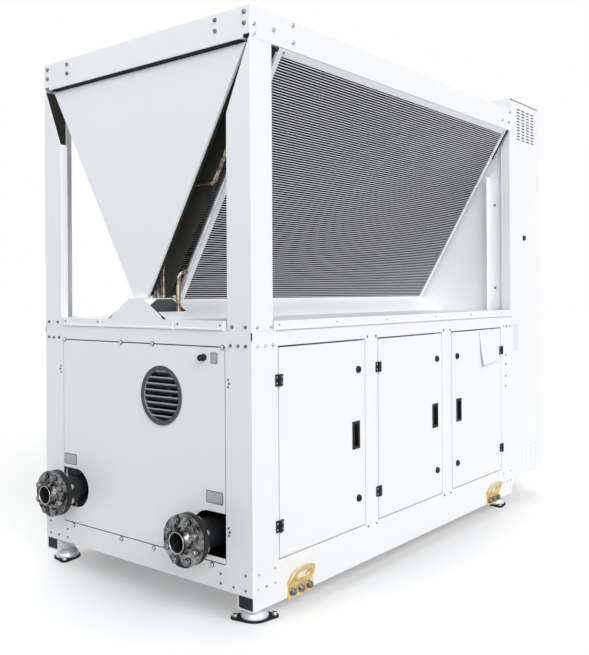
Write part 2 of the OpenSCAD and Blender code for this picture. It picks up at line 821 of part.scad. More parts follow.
module end_beams() color(white) both_ends() difference() {
    union() {
        translate([0, y_f, beam_z]) cube([sheet_t, frame_w, beam_h]);
        for (z = [beam_z, frame_h - sheet_t]) translate([0, y_f + sheet_t, z])
            cube([beam_flange, frame_w - 2 * sheet_t, sheet_t]);
    }
    both_sides() translate([-over, y_f + sheet_t, beam_z - over])
        cube([post_lip + over, beam_cut_w - sheet_t, beam_cut_h + over]);
}

module side_beams() color(white) both_sides() {
    translate([x_l + sheet_t, y_f, beam_z]) cube([frame_l - 2 * sheet_t, sheet_t, beam_h]);
    for (z = [beam_z, frame_h - sheet_t]) translate([x_l + beam_flange, y_f, z])
        cube([frame_l - 2 * beam_flange, beam_flange, sheet_t]);
}

// V outline seen from the end, from the ridge top to a gap below the beams, set in by k.
module v_outline(k, gap = 0) {
    foot = ridge_top - v_gap;
    half = v_half - gap * tan(coil_a) - k;
    polygon([[-half, beam_z - gap], [k - foot, ridge_z], [foot - k, ridge_z], [half, beam_z - gap]]);
}

module v_end_panels() color(white) both_ends() translate([v_back, 0, 0]) rotate([90, 0, 90]) {
    linear_extrude(sheet_t) v_outline(0, v_top_gap);
    linear_extrude(v_fold) difference() {
        v_outline(0, v_top_gap);
        v_outline(sheet_t / cos(coil_a), v_top_gap);
    }
}

// Draws children on a coil: X along it, Y down the slope from its top edge, Z inwards from its outer face.
module at_coil() {
    translate([0, -coil_y, coil_z]) rotate([coil_a - 90, 0, 0]) children();
}

// Comb section of a coil: flat tubes standing proud of the fins on both faces.
function tube_edge(face, back) = [
    for (i = [0:tubes], p = [[0, back], [0, face], [tube_h, face], [tube_h, back]])
        [tube_start + i * tube_pitch + p[0], p[1]]
];
front_edge = tube_edge(0, fin_back);
back_edge = tube_edge(coil_t, coil_t - fin_back);
comb = concat(
    [[0, fin_back]], front_edge, [[core_len, fin_back], [core_len, coil_t - fin_back]],
    [for (i = [len(back_edge) - 1:-1:0]) back_edge[i]], [[0, coil_t - fin_back]]
);

module coil() color(alu) at_coil() translate([core_x1, coil_rail_h, 0])
    rotate([90, 0, 90]) linear_extrude(core_x2 - core_x1) polygon(comb);

module front_coil() coil();

module back_coil() mirror([0, 1, 0]) coil();

// Channels along the top and bottom of a coil, a strip in front of each header, a strip up to the beam.
module coil_channels() color(white) both_sides() at_coil() {
    for (y = [0, coil_len - coil_rail_h]) translate([coil_x1, y, -coil_wrap])
        cube([coil_x2 - coil_x1, coil_rail_h, coil_t + 2 * coil_wrap]);
    for (x = [coil_x1, coil_x2 - 2 * header_r]) translate([x, 0, -coil_wrap])
        cube([2 * header_r, coil_len, coil_wrap]);
    up = (beam_z - coil_z - 1) / cos(coil_a);
    translate([coil_x1, -up, -coil_wrap]) cube([coil_x2 - coil_x1, up, coil_wrap]);
}

module coil_headers() color(alu) both_sides() at_coil()
    for (x = [coil_x1 + header_r, coil_x2 - header_r]) translate([x, coil_rail_h, coil_t / 2])
        rotate([-90, 0, 0]) cylinder(r = header_r, h = core_len);

module plenum_baffle() color(grey) translate([coil_x1 - 2 * sheet_t, 0, 0]) rotate([90, 0, 90])
    linear_extrude(sheet_t) v_outline(baffle_in);

// Straight pipe along +Z, children at its end.
module run(r, l) {
    cylinder(r = r, h = l);
    translate([0, 0, l]) children();
}

// Pipe bend from +Z towards the direction given in degrees about Z, children at its end.
module bend(r, radius, turn, dir) {
    rotate([0, 0, dir]) {
        translate([radius, 0, 0]) rotate([90, 0, 0]) rotate([0, 0, 180 - turn])
            rotate_extrude(angle = turn) translate([radius, 0]) circle(r);
        translate([radius, 0, 0]) rotate([0, turn, 0]) translate([-radius, 0, 0])
            rotate([0, 0, -dir]) children();
    }
}

// Header axis, as a distance from the middle of the width, at height z.
function header_y(z) = coil_y - (coil_z - z) * tan(coil_a) - coil_t / 2 / cos(coil_a);

// Brazed socket around a pipe joint.
module socket() {
    translate([0, 0, -socket_l / 2]) cylinder(r = gas_r + socket_t, h = socket_l);
}

// Straight copper pipe along +Z that ends inside its sockets, children at its end.
module copper_run(l) {
    translate([0, 0, fit_gap]) cylinder(r = gas_r, h = l - 2 * fit_gap);
    translate([0, 0, l]) children();
}

// Copper elbow with a socket at both ends, children at its end.
module copper_bend(turn, dir) {
    socket();
    bend(gas_r, gas_bend, turn, dir) {
        socket();
        children();
    }
}

module refrigerant_pipes() color(copper) both_sides() {
    to_header = coil_left - gas_x - gas_bend;
    low_z = ridge_z + gas_low;
    low_y = header_y(low_z);
    low_foot = deck_z - fit_gap;
    translate([x_l + gas_x, -low_y, low_foot])
        copper_run(low_z - gas_bend - low_foot) copper_bend(90, 0) copper_run(to_header);
    lean = 90 - coil_a;
    level = header_y(ridge_z + gas_high) - riser_y - gas_bend - gas_bend * tan(lean / 2);
    translate([x_l + gas_x, -riser_y, ridge_z])
        copper_run(gas_high - gas_bend) copper_bend(90, -90) copper_run(level)
            copper_bend(lean, 90) copper_run(gas_slope) copper_bend(90, 0) copper_run(to_header);
}

module fan_deck() color(white) difference() {
    union() {
        translate([x_l + beam_flange / 2, y_f + beam_flange / 2, frame_h])
            cube([frame_l - beam_flange, frame_w - beam_flange, sheet_t]);
        for (x = fan_xs) translate([x, 0, frame_h - collar_down])
            cylinder(d = fan_d + 2 * collar_t, h = collar_down + sheet_t + collar_up, $fn = 96);
    }
    for (x = fan_xs) translate([x, 0, frame_h - collar_down - over])
        cylinder(d = fan_d, h = collar_down + sheet_t + collar_up + 2 * over, $fn = 96);
}

// Blade of a fan, drawn along +X from the hub's axis.
module blade() {
    tip_r = fan_d / 2 - tip_gap;
    half = PI * hub_r / blades * blade_fill;
    knee = tip_r * 0.6;
    far = tip_r + tip_gap;
    intersection() {
        difference() {
            cylinder(r = tip_r, h = hub_h);
            translate([0, 0, -over]) cylinder(r = hub_r - over, h = hub_h + 2 * over);
        }
        translate([0, 0, hub_h / 2]) rotate([blade_a, 0, 0]) translate([0, 0, -blade_t / 2])
            linear_extrude(blade_t) polygon([
                [0, -half], [knee, -half], [far, -half * 0.4], [far, half * 2], [knee, half * 1.5], [0, half]
            ]);
    }
}

module fan_rotors() color(black) for (x = fan_xs) translate([x, 0, fan_z - hub_h]) {
    cylinder(r = hub_r, h = hub_h);
    for (i = [0:blades - 1]) rotate([0, 0, i * 360 / blades]) blade();
}

module fan_guards() color(black) for (x = fan_xs) translate([x, 0, fan_z]) {
    outer = fan_d / 2 + collar_t;
    plate_r = hub_r - hub_drop;
    pitch = (outer - wire - plate_r) / rings;
    cylinder(r = plate_r, h = wire);
    for (i = [1:rings]) difference() {
        cylinder(r = plate_r + i * pitch + wire, h = wire, $fn = 72);
        translate([0, 0, -over]) cylinder(r = plate_r + i * pitch, h = wire + 2 * over, $fn = 72);
    }
    for (i = [0:spokes - 1]) rotate([0, 0, i * 360 / spokes]) translate([plate_r - wire, -wire / 2, 0])
        cube([outer - plate_r + wire / 2, wire, wire]);
}

// Draws children at each water pipe: Z along the pipe into the machine, X up.
module at_water() {
    for (s = [-1, 1]) translate([x_l, s * water_y, s < 0 ? water_front_z : water_back_z])
        rotate([0, 90, 0]) mirror([0, s > 0 ? 1 : 0, 0]) children();
}

module flange_holes(h) {
    for (i = [0:flange_bolts - 1]) rotate([0, 0, (i + 0.5) * 360 / flange_bolts])
        translate([flange_pcd / 2, 0, -over]) cylinder(r = flange_hole_r, h = h + 2 * over);
}

// Path of a water pipe with radius r, longer by k at both ends.
module water_path(r, k) {
    side = water_y - water_bend - evap_w / 2;
    translate([0, 0, -water_back - k])
        run(r, water_back + water_in + k) bend(r, water_bend, 90, 90) run(r, side + k);
}

module water_pipes() color(black) at_water() difference() {
    union() {
        translate([0, 0, -water_back]) cylinder(r = flange_r, h = flange_t);
        water_path(water_r, 0);
    }
    water_path(water_r - water_t, over);
    translate([0, 0, -water_back]) flange_holes(flange_t);
}

module flange_gaskets() color(black) at_water() translate([0, 0, flange_t - flange_out]) difference() {
    cylinder(r = flange_pcd / 2 - flange_hole_r - gasket_in, h = gasket_t);
    translate([0, 0, -over]) cylinder(r = water_r - water_t, h = gasket_t + 2 * over);
}

module water_flanges() color(steel) at_water() translate([0, 0, -flange_out]) difference() {
    union() {
        cylinder(r = flange_r, h = flange_t);
        translate([0, 0, -neck_l * 0.65]) cylinder(r1 = neck_r, r2 = neck_root_r, h = neck_l * 0.65);
        translate([0, 0, -neck_l]) cylinder(r = neck_r, h = neck_l);
    }
    translate([0, 0, -neck_l - over]) cylinder(r = bore_r, h = neck_l + flange_t + 2 * over);
    flange_holes(flange_t);
}

module slot_grid(z) {
    for (i = [0:slot_cols - 1], j = [0:slot_rows - 1]) {
        x = cabinet_d / 2 + (i - (slot_cols - 1) / 2) * slot_px;
        translate([x, z + (j - (slot_rows - 1) / 2) * slot_pz]) square([slot_w, slot_h], center = true);
    }
}

module cabinet_sides() color(white) both_sides() translate([x_r, y_f + sheet_t, cabinet_z]) rotate([90, 0, 0])
    linear_extrude(sheet_t) difference() {
        square([cabinet_d - cover_t, cabinet_top - sheet_t - cap_gap - cabinet_z]);
        slot_grid(louvre_up);
        slot_grid(cabinet_top - louvre_down - cabinet_z);
    }

module cabinet_shell() color(white) {
    w = frame_w - 2 * sheet_t;
    translate([x_r, -w / 2, cabinet_z]) cube([sheet_t, w, cabinet_top - sheet_t - cabinet_z]);
    translate([x_r, -w / 2, cabinet_z]) cube([cabinet_d - cover_t, w, sheet_t]);
    translate([x_r, y_f, cabinet_top - sheet_t]) cube([cabinet_d, frame_w, sheet_t]);
}

module cabinet_cover() color(white) translate([x_r + cabinet_d, 0, cabinet_z]) mirror([1, 0, 0])
    on_end(y_f) pan(frame_w, cover_t, cabinet_top - sheet_t - cabinet_z);

module cabinet_lock() color(black) translate([x_r + cabinet_d * 0.42, y_f, cabinet_lock_z]) rotate([90, 0, 0])
    cylinder(r1 = lock_r, r2 = lock_r - 2, h = lock_h);

module evaporator() color(black) translate([evap_x, -evap_w / 2, pan_top]) cube([evap_l, evap_w, evap_h]);

module compressors() color(black) for (s = [-1, 1])
    translate([comp_x + s * comp_pitch / 2, comp_y, pan_top]) {
        cylinder(r = comp_r, h = comp_h);
        translate([0, 0, comp_h]) cylinder(r1 = comp_r, r2 = comp_r * 0.55, h = comp_r * 0.4);
    }

base_rails();
end_sills();
floor_pan();
foot_plates();
foot_cups();
lifting_lugs();
base_posts();
front_mullions();
back_mullions();
side_head_rails();
end_head_rails();
back_panels();
left_end_panel();
right_end_panel();
vent_grille();
cable_gland();
frame_hinges();
door_1();
door_2();
door_3();
door_1_fittings();
door_2_fittings();
door_3_fittings();
deck_pan();
deck_lips();
v_foot_plate();
coil_ridge();
left_posts();
right_posts();
end_beams();
side_beams();
v_end_panels();
front_coil();
back_coil();
coil_channels();
coil_headers();
plenum_baffle();
refrigerant_pipes();
fan_deck();
fan_rotors();
fan_guards();
water_pipes();
flange_gaskets();
water_flanges();
cabinet_sides();
cabinet_shell();
cabinet_cover();
cabinet_lock();
evaporator();
compressors();
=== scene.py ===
# %% [markdown]
# Air cooled water chiller
#
# The machine is a frame of folded white sheet steel. Service doors close the base, two flat coils
# stand above it in a V, fans on the roof draw air through them, and a control cabinet closes one end.
# The construction arrives as a fixed frame of named nodes at real size. This lesson dresses it:
# camera and light, then the finish of each material, then the small hardware that shows on a real one.

# %% Load the frame
import json
import math

import bmesh
import bpy
from mathutils import Matrix, Vector


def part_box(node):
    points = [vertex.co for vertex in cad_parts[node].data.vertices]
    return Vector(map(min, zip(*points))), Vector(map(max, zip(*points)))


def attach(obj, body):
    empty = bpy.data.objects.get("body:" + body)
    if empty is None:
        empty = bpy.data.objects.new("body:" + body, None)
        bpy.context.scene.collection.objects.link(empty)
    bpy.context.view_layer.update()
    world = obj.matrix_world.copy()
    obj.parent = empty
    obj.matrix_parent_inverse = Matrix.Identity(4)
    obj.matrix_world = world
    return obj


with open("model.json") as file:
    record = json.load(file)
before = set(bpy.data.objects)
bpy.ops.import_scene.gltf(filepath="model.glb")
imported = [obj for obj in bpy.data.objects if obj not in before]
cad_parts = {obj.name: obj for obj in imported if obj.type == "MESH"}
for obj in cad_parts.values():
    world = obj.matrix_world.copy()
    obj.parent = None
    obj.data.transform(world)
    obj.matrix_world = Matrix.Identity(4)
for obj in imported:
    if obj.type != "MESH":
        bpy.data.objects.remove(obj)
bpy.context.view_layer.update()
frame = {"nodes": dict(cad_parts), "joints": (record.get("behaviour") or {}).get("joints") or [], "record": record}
nodes = frame["nodes"]

# %% [markdown]
# Main lines
#
# Most hardware sits on a face of the frame. Its place is a distance from such a face, from the middle
# line or from the floor. The faces are read from the nodes, so hardware moves with them.

# %% Read the main faces of the frame
MM = 0.001
post_low, post_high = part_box("base_posts")
left, right = post_low.x, post_high.x
front, back = post_low.y, post_high.y
rail_top, seam = post_low.z, post_high.z
foot_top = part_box("base_rails")[0].z
beam_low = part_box("side_beams")[0].z
print("body from", round(left, 4), "to", round(right, 4), "seam at", round(seam, 4))

# %% [markdown]
# Camera
#
# The picture was taken at chest height with the camera level, so upright edges stay parallel and the
# horizon sits above the middle of the picture. A level camera with a vertical shift gives just that.
# Tilting the camera instead would make the posts lean. A third of a degree of roll is the picture's own.

# %% Place the camera
PHOTO_H = 655
FOCAL_PX = 812.7
HORIZON_ROW = 293.45
SENSOR = 36
FROM_CORNER = (-2088, -1863, 1101.5)
HEADING, ROLL = math.radians(38.69), math.radians(-0.32)
stand = Vector((left, front, foot_top)) + Vector(FROM_CORNER) * MM

camera = bpy.data.objects.new("camera", bpy.data.cameras.new("camera"))
bpy.context.scene.collection.objects.link(camera)
bpy.context.scene.camera = camera
camera.data.sensor_width = SENSOR
camera.data.lens = SENSOR * FOCAL_PX / PHOTO_H
camera.data.shift_y = (HORIZON_ROW - PHOTO_H / 2) / PHOTO_H
level = Matrix.Rotation(HEADING - math.pi / 2, 4, "Z") @ Matrix.Rotation(math.pi / 2, 4, "X")
camera.matrix_world = Matrix.Translation(stand) @ level @ Matrix.Rotation(ROLL, 4, "Z")
print("lens", round(camera.data.lens, 2), "shift", round(camera.data.shift_y, 4))

# %% [markdown]
# Finishes: the helpers
#
# Colours are written as the sRGB hex values that a paint chart would give, and the shader wants linear
# light. One function converts them, one adds a node and one blends two colours. Texture scales come
# from a real size in mm.

# %% Define the colour and node helpers
def linear(code):
    """Turns an sRGB hex code into a linear colour with alpha."""
    parts = [int(code[i:i + 2], 16) / 255 for i in (0, 2, 4)]
    return [p / 12.92 if p <= 0.04045 else ((p + 0.055) / 1.055) ** 2.4 for p in parts] + [1]


def add(tree, kind, inputs, **settings):
    """Adds one node. An input takes a value, or another node's output to link."""
    made = tree.nodes.new("ShaderNode" + kind)
    for key, value in settings.items():
        setattr(made, key, value)
    for key, value in inputs.items():
        if isinstance(value, bpy.types.NodeSocket):
            tree.links.new(value, made.inputs[key])
        else:
            made.inputs[key].default_value = value
    return made


def blend(tree, share, first, second):
    """Colour that runs from one hex code to another as the share goes from 0 to 1."""
    ends = {"Fac": share, "Color1": linear(first), "Color2": linear(second)}
    return add(tree, "MixRGB", ends).outputs["Color"]


def per_metre(size_mm):
    """Texture scale that gives features of about this size."""
    return 1000 / size_mm


def finish(name, **sockets):
    """Starts a material: returns its tree, its main shader and the place of a point in the part."""
    made = bpy.data.materials.new(name)
    made.use_nodes = True
    shader = made.node_tree.nodes["Principled BSDF"]
    for key, value in sockets.items():
        shader.inputs[key.replace("_", " ")].default_value = value
    place = add(made.node_tree, "TexCoord", {}).outputs["Object"]
    finishes[name] = made
    return made.node_tree, shader, place


finishes = {}
print("white paint in linear light", [round(c, 3) for c in linear("F3F4F5")])

# %% [markdown]
# Floor and light
#
# The machine stands on a pale seamless floor in soft studio light. A broad softbox on the door side
# stands low enough to light the deck under the roof, a weaker one beside the camera reaches into the
# V, one behind lifts the floor and the far sides, and one over the water end lets that end fall off
# towards the floor. The world gives even fill. The eye and shiny metal see a pale floor and plain white
# around the machine, while other light meets a greyer floor, so that undersides stay dark. The seen floor
# also glows a little, more so away from the machine: the shadow stays soft and pale, and the floor runs
# out to white.

# %% Lay the floor and set the lights
FLOOR_SPAN, FLOOR_DROP, FLOOR_SPECK = 80, 0.5, 900
SHADOW_LIFT, FAR_LIFT = 0.27, 0.5
LIFT_FROM, LIFT_TO = 0.68, 0.98
LIFT_OVAL = (0.55, 1, 0)
floor_mesh = bpy.data.meshes.new("floor")
half = FLOOR_SPAN / 2
floor_mesh.from_pydata(
    [(-half, -half, 0), (half, -half, 0), (half, half, 0), (-half, half, 0)], [], [(0, 1, 2, 3)]
)
floor = bpy.data.objects.new("floor", floor_mesh)
floor.location.z = -FLOOR_DROP * MM
bpy.context.scene.collection.objects.link(floor)


def seen_rays(tree):
    """Output that is 1 for light that the eye, metal or glass sees, and 0 for other light."""
    path = add(tree, "LightPath", {}).outputs
    seen = path["Is Camera Ray"]
    for ray in ("Is Glossy Ray", "Is Transmission Ray"):
        seen = add(tree, "Math", {0: seen, 1: path[ray]}, operation="MAXIMUM").outputs[0]
    return seen


tree, shader, place = finish("pale_studio_floor", Roughness=0.9, Specular_IOR_Level=0.1)
speck = add(tree, "TexNoise", {"Vector": place, "Scale": per_metre(FLOOR_SPECK), "Detail": 3})
pale = blend(tree, speck.outputs["Fac"], "C6C6C6", "C8C8C8")
seen = seen_rays(tree)
tone = add(tree, "MixRGB", {"Fac": seen, "Color1": linear("ACACAC"), "Color2": pale})
tree.links.new(tone.outputs["Color"], shader.inputs["Base Color"])
oval = add(tree, "VectorMath", {0: place, 1: LIFT_OVAL}, operation="MULTIPLY").outputs[0]
reach = add(tree, "VectorMath", {0: oval}, operation="LENGTH").outputs["Value"]
lift = {"Value": reach, "From Min": LIFT_FROM, "From Max": LIFT_TO, "To Min": SHADOW_LIFT, "To Max": FAR_LIFT}
lift = add(tree, "MapRange", lift).outputs["Result"]
glow = add(tree, "Math", {0: seen, 1: lift}, operation="MULTIPLY")
tree.links.new(glow.outputs[0], shader.inputs["Emission Strength"])
floor_mesh.materials.append(finishes.pop("pale_studio_floor"))

# A sun has its strength, its spread in degrees and the direction that it stands in.
SUNS = {
    "door_side_softbox": (2.16, 45, (-0.25, -1, 0.75)),
    "camera_side_softbox": (1.1, 40, (-0.78, -0.63, 0.25)),
    "back_softbox": (1.15, 60, (0.55, 0.8, 1.1)),
}
for name, (strength, spread, toward) in SUNS.items():
    lamp = bpy.data.objects.new(name, bpy.data.lights.new(name, "SUN"))
    bpy.context.scene.collection.objects.link(lamp)
    lamp.data.energy = strength
    lamp.data.angle = math.radians(spread)
    lamp.rotation_euler = Vector(toward).to_track_quat("Z", "Y").to_euler()
END_POWER, END_SIZE = 20, 2
END_PLACE, END_AIM = Vector((left - 2, -0.3, 3.3)), Vector((left, 0, 1.7))
end_lamp = bpy.data.objects.new("water_end_softbox", bpy.data.lights.new("water_end_softbox", "AREA"))
bpy.context.scene.collection.objects.link(end_lamp)
end_lamp.data.energy = END_POWER
end_lamp.data.size = END_SIZE
end_lamp.data.color = linear("E6EEF8")[:3]
end_lamp.location = END_PLACE
end_lamp.rotation_euler = (END_PLACE - END_AIM).to_track_quat("Z", "Y").to_euler()

FILL = 0.22
world = bpy.data.worlds.new("studio")
bpy.context.scene.world = world
world.use_nodes = True
tree = world.node_tree
fill = add(tree, "Background", {"Color": linear("E9EDF2"), "Strength": FILL})
white = add(tree, "Background", {"Color": linear("FFFFFF"), "Strength": 1})
both = add(tree, "MixShader", {0: seen_rays(tree), 1: fill.outputs[0], 2: white.outputs[0]})
tree.links.new(both.outputs[0], tree.nodes["World Output"].inputs["Surface"])
bpy.context.scene.view_settings.view_transform = "Standard"
print("suns", {k: v[0] for k, v in SUNS.items()}, "end lamp", END_POWER, "fill", FILL)

# %% [markdown]
# White powder coat
#
# Polyester powder, sprayed on and baked. It flows into a skin with a faint orange peel a few mm wide and
# a soft gloss, so large faces show a slow change of tone and edges catch a dull highlight.

# %% Make the white powder coat
ORANGE_PEEL = 4
TONE_DRIFT = 420
tree, shader, place = finish("white_powder_coat", IOR=1.5)
drift = add(tree, "TexNoise", {"Vector": place, "Scale": per_metre(TONE_DRIFT), "Detail": 2})
tree.links.new(blend(tree, drift.outputs["Fac"], "EFF0F2", "F5F6F7"), shader.inputs["Base Color"])
peel = add(tree, "TexNoise", {"Vector": place, "Scale": per_metre(ORANGE_PEEL), "Detail": 1})
gloss = add(tree, "MapRange", {"Value": peel.outputs["Fac"], "To Min": 0.34, "To Max": 0.46})
tree.links.new(gloss.outputs["Result"], shader.inputs["Roughness"])
skin = add(tree, "Bump", {"Height": peel.outputs["Fac"], "Strength": 0.12, "Distance": 0.2 * MM})
tree.links.new(skin.outputs["Normal"], shader.inputs["Normal"])
print("finishes so far", list(finishes))

# %% [markdown]
# Moulded and coated blacks
#
# Hinges, locks and grips are glass filled nylon with a fine spark-eroded grain. The water pipes and fan
# guards wear a satin black coat on steel. Gaskets, foot pads and the insulation are matt rubber foam.
# All three are nearly black, so the grain and the gloss tell them apart.

# %% Make the black finishes
# A black has two tones, the size of its grain in mm, its least and most roughness and its relief.
BLACKS = {
    "black_polymer": ("0D0E0F", "161718", 0.9, 0.42, 0.58, 0.25),
    "black_coated_steel": ("0C0D0E", "191A1B", 14, 0.3, 0.46, 0.12),
    "black_rubber": ("121314", "1D1E1F", 2.5, 0.7, 0.9, 0.5),
}
for name, (deep, worn, grain_mm, low_rough, high_rough, relief) in BLACKS.items():
    tree, shader, place = finish(name, Specular_IOR_Level=0.3)
    grain = add(tree, "TexNoise", {"Vector": place, "Scale": per_metre(grain_mm), "Detail": 3})
    tree.links.new(blend(tree, grain.outputs["Fac"], deep, worn), shader.inputs["Base Color"])
    gloss = add(tree, "MapRange", {"Value": grain.outputs["Fac"], "To Min": low_rough, "To Max": high_rough})
    tree.links.new(gloss.outputs["Result"], shader.inputs["Roughness"])
    skin = add(tree, "Bump", {"Height": grain.outputs["Fac"], "Strength": relief, "Distance": 0.3 * MM})
    tree.links.new(skin.outputs["Normal"], shader.inputs["Normal"])
print("finishes so far", list(finishes))

# %% [markdown]
# Turned steel
#
# The weld neck flanges come off a lathe bare. The tool leaves fine rings around the pipe axis. The steel
# is laid in large dark and bright patches. They are partly uneven dulling in store and partly painted
# reflection: the dark patches are darker than bare steel can be and stand in for a dark room mirrored in
# it. The ring pattern is the distance to the nearer of the two pipe axes.
# Real tool marks are about 0.3 mm apart and would not show, so they are drawn at 2 mm.

# %% Make the turned steel
RING_PITCH, DULL_AND_REFLECTION_PATCH = 2, 38
FLANGE_R = 92.5 * MM
flange_low, flange_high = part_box("water_flanges")
axes = [
    (flange_low.y + FLANGE_R, flange_low.z + FLANGE_R),
    (flange_high.y - FLANGE_R, flange_high.z - FLANGE_R),
]
tree, shader, place = finish("turned_steel", Metallic=1)
flat = add(tree, "VectorMath", {0: place, 1: (0, 1, 1)}, operation="MULTIPLY").outputs[0]
gaps = [
    add(tree, "VectorMath", {0: flat, 1: (0, y, z)}, operation="DISTANCE").outputs["Value"] for y, z in axes
]
radius = add(tree, "Math", {0: gaps[0], 1: gaps[1]}, operation="MINIMUM").outputs[0]
turns = add(tree, "Math", {0: radius, 1: 2 * math.pi / (RING_PITCH * MM)}, operation="MULTIPLY").outputs[0]
rings = add(tree, "Math", {0: turns}, operation="SINE").outputs[0]
# Painted reflection mixed with real dulling: noise patches that run from near black to steel grey.
dull_and_reflection = {"Vector": place, "Scale": per_metre(DULL_AND_REFLECTION_PATCH), "Detail": 5, "Roughness": 0.65}
dull_and_reflection = add(tree, "TexNoise", dull_and_reflection)
patch = add(tree, "MapRange", {"Value": dull_and_reflection.outputs["Fac"], "From Min": 0.42, "From Max": 0.64})
tree.links.new(blend(tree, patch.outputs["Result"], "242423", "9C9C98"), shader.inputs["Base Color"])
gloss = add(tree, "MapRange", {"Value": dull_and_reflection.outputs["Fac"], "To Min": 0.12, "To Max": 0.36})
tree.links.new(gloss.outputs["Result"], shader.inputs["Roughness"])
skin = add(tree, "Bump", {"Height": rings, "Strength": 0.1, "Distance": 0.1 * MM})
tree.links.new(skin.outputs["Normal"], shader.inputs["Normal"])
print("pipe axes", [(round(y, 4), round(z, 4)) for y, z in axes])

# %% [markdown]
# Plated, galvanised and copper metals
#
# Zinc plate is bright on the foot bolts, the flange nuts and the frame bolts of the sides, and has
# gone dull on the bolts of the water end, the flange faces and the lugs. The dull zinc is darker than
# bare zinc can be. It is partly real dulling and partly painted shade and reflection, for the shade on
# the water end and the darker room that zinc mirrors. The lifting lugs are zinc with a yellow passivate
# that drifts from straw to gold. The floor pan is galvanised sheet with its crystal spangle, the
# refrigerant pipes are copper gone grey brown with heat and handling, and the coil headers are drawn
# aluminium. The foot cups are pressed and satin, and mill scale is left in the bores of the flanges.
# Each drifts between two tones over a size of its own.

# %% Make the other metals
# A metal has two tones, the size of its drift in mm, its least and most roughness and its metal share.
METALS = {
    "zinc_plated_steel": ("8B8E91", "D6D9DB", 16, 0.16, 0.34, 1.0),
    # Partly painted shade and reflection: tones darker than bare zinc can be.
    "dull_zinc_painted_shade": ("4A4D50", "8F9295", 9, 0.3, 0.5, 1.0),
    "yellow_zinc_plate": ("DDB45A", "F6E2A8", 34, 0.32, 0.5, 0.75),
    "galvanised_sheet": ("8E9296", "B9BDC0", 14, 0.34, 0.55, 1.0),
    "copper_tube": ("3B322B", "B9AB9D", 20, 0.16, 0.4, 1.0),
    "coil_aluminium": ("B9BDC0", "E6E8EA", 60, 0.3, 0.45, 0.8),
    "satin_zinc_cup": ("CACDD0", "F0F1F2", 30, 0.34, 0.48, 0.5),
    "scaled_steel": ("0C0C0C", "A4A4A0", 7, 0.16, 0.3, 0.9),
}
for name, (dark, bright, drift_mm, low_rough, high_rough, metal) in METALS.items():
    tree, shader, place = finish(name, Metallic=metal)
    pattern = {"Vector": place, "Scale": per_metre(drift_mm)}
    if name == "galvanised_sheet":
        drift = add(tree, "TexVoronoi", pattern).outputs["Color"]
    else:
        drift = add(tree, "TexNoise", {**pattern, "Detail": 4}).outputs["Fac"]
    spread = add(tree, "MapRange", {"Value": drift, "From Min": 0.3, "From Max": 0.7}).outputs["Result"]
    tree.links.new(blend(tree, spread, dark, bright), shader.inputs["Base Color"])
    gloss = add(tree, "MapRange", {"Value": spread, "To Min": high_rough, "To Max": low_rough})
    tree.links.new(gloss.outputs["Result"], shader.inputs["Roughness"])
    skin = add(tree, "Bump", {"Height": drift, "Strength": 0.08, "Distance": 0.2 * MM})
    tree.links.new(skin.outputs["Normal"], shader.inputs["Normal"])
print("finishes so far", list(finishes))

# %% [markdown]
# Dark sheet and vent plastic
#
# The plate that closes the V behind the pipes gets a dark brown grey and is a little dusty. The dark
# tone is painted shade, for the shade deep in the V, and the same dark sheet serves as painted shade on
# other pieces. The round vent is moulded from grey ASA with a fine grain. The front edges of its slats
# are painted lighter, a painted highlight where they catch the light.

# %% Make the dark sheet and the vent plastic
# A grey has two tones, the size of its drift in mm and its least and most roughness.
GREY_GRAIN = 1.2
MATT_GREYS = {
    # Painted shade: the dark sheet's tone stands in for the shade on the pieces that wear it.
    "dark_painted_sheet": ("33312A", "45433A", 160, 0.55, 0.7),
    "grey_vent_plastic": ("2C3032", "43484A", 30, 0.4, 0.52),
}
for name, (deep, pale, drift_mm, low_rough, high_rough) in MATT_GREYS.items():
    tree, shader, place = finish(name)
    drift = add(tree, "TexNoise", {"Vector": place, "Scale": per_metre(drift_mm), "Detail": 4}).outputs["Fac"]
    tone = blend(tree, drift, deep, pale)
    tree.links.new(tone, shader.inputs["Base Color"])
    gloss = add(tree, "MapRange", {"Value": drift, "To Min": low_rough, "To Max": high_rough})
    tree.links.new(gloss.outputs["Result"], shader.inputs["Roughness"])
    grain = add(tree, "TexNoise", {"Vector": place, "Scale": per_metre(GREY_GRAIN), "Detail": 2})
    skin = add(tree, "Bump", {"Height": grain.outputs["Fac"], "Strength": 0.2, "Distance": 0.1 * MM})
    tree.links.new(skin.outputs["Normal"], shader.inputs["Normal"])
# The vent plastic came last, so the tree, the shader and the tone are still its own.
# Painted highlight: the slats' front edges are painted lighter, fading back over FADE; the rim in front is kept
# out.
SLAT_FRONT, FADE = left - 3 * MM, 8 * MM
RIM_FROM, RIM_TO = SLAT_FRONT - 0.2 * MM, SLAT_FRONT - 0.6 * MM
x = add(tree, "SeparateXYZ", {"Vector": place}).outputs["X"]
lit = {"Value": x, "From Min": SLAT_FRONT + FADE, "From Max": SLAT_FRONT}
lit = add(tree, "MapRange", lit).outputs["Result"]
rim = add(tree, "MapRange", {"Value": x, "From Min": RIM_FROM, "From Max": RIM_TO}).outputs["Result"]
edge_highlight = add(tree, "Math", {0: lit, 1: rim}, operation="SUBTRACT", use_clamp=True).outputs[0]
tone = add(tree, "MixRGB", {"Fac": edge_highlight, "Color1": tone, "Color2": linear("B2B5B5")})
tree.links.new(tone.outputs["Color"], shader.inputs["Base Color"])
print("finishes so far", list(finishes))

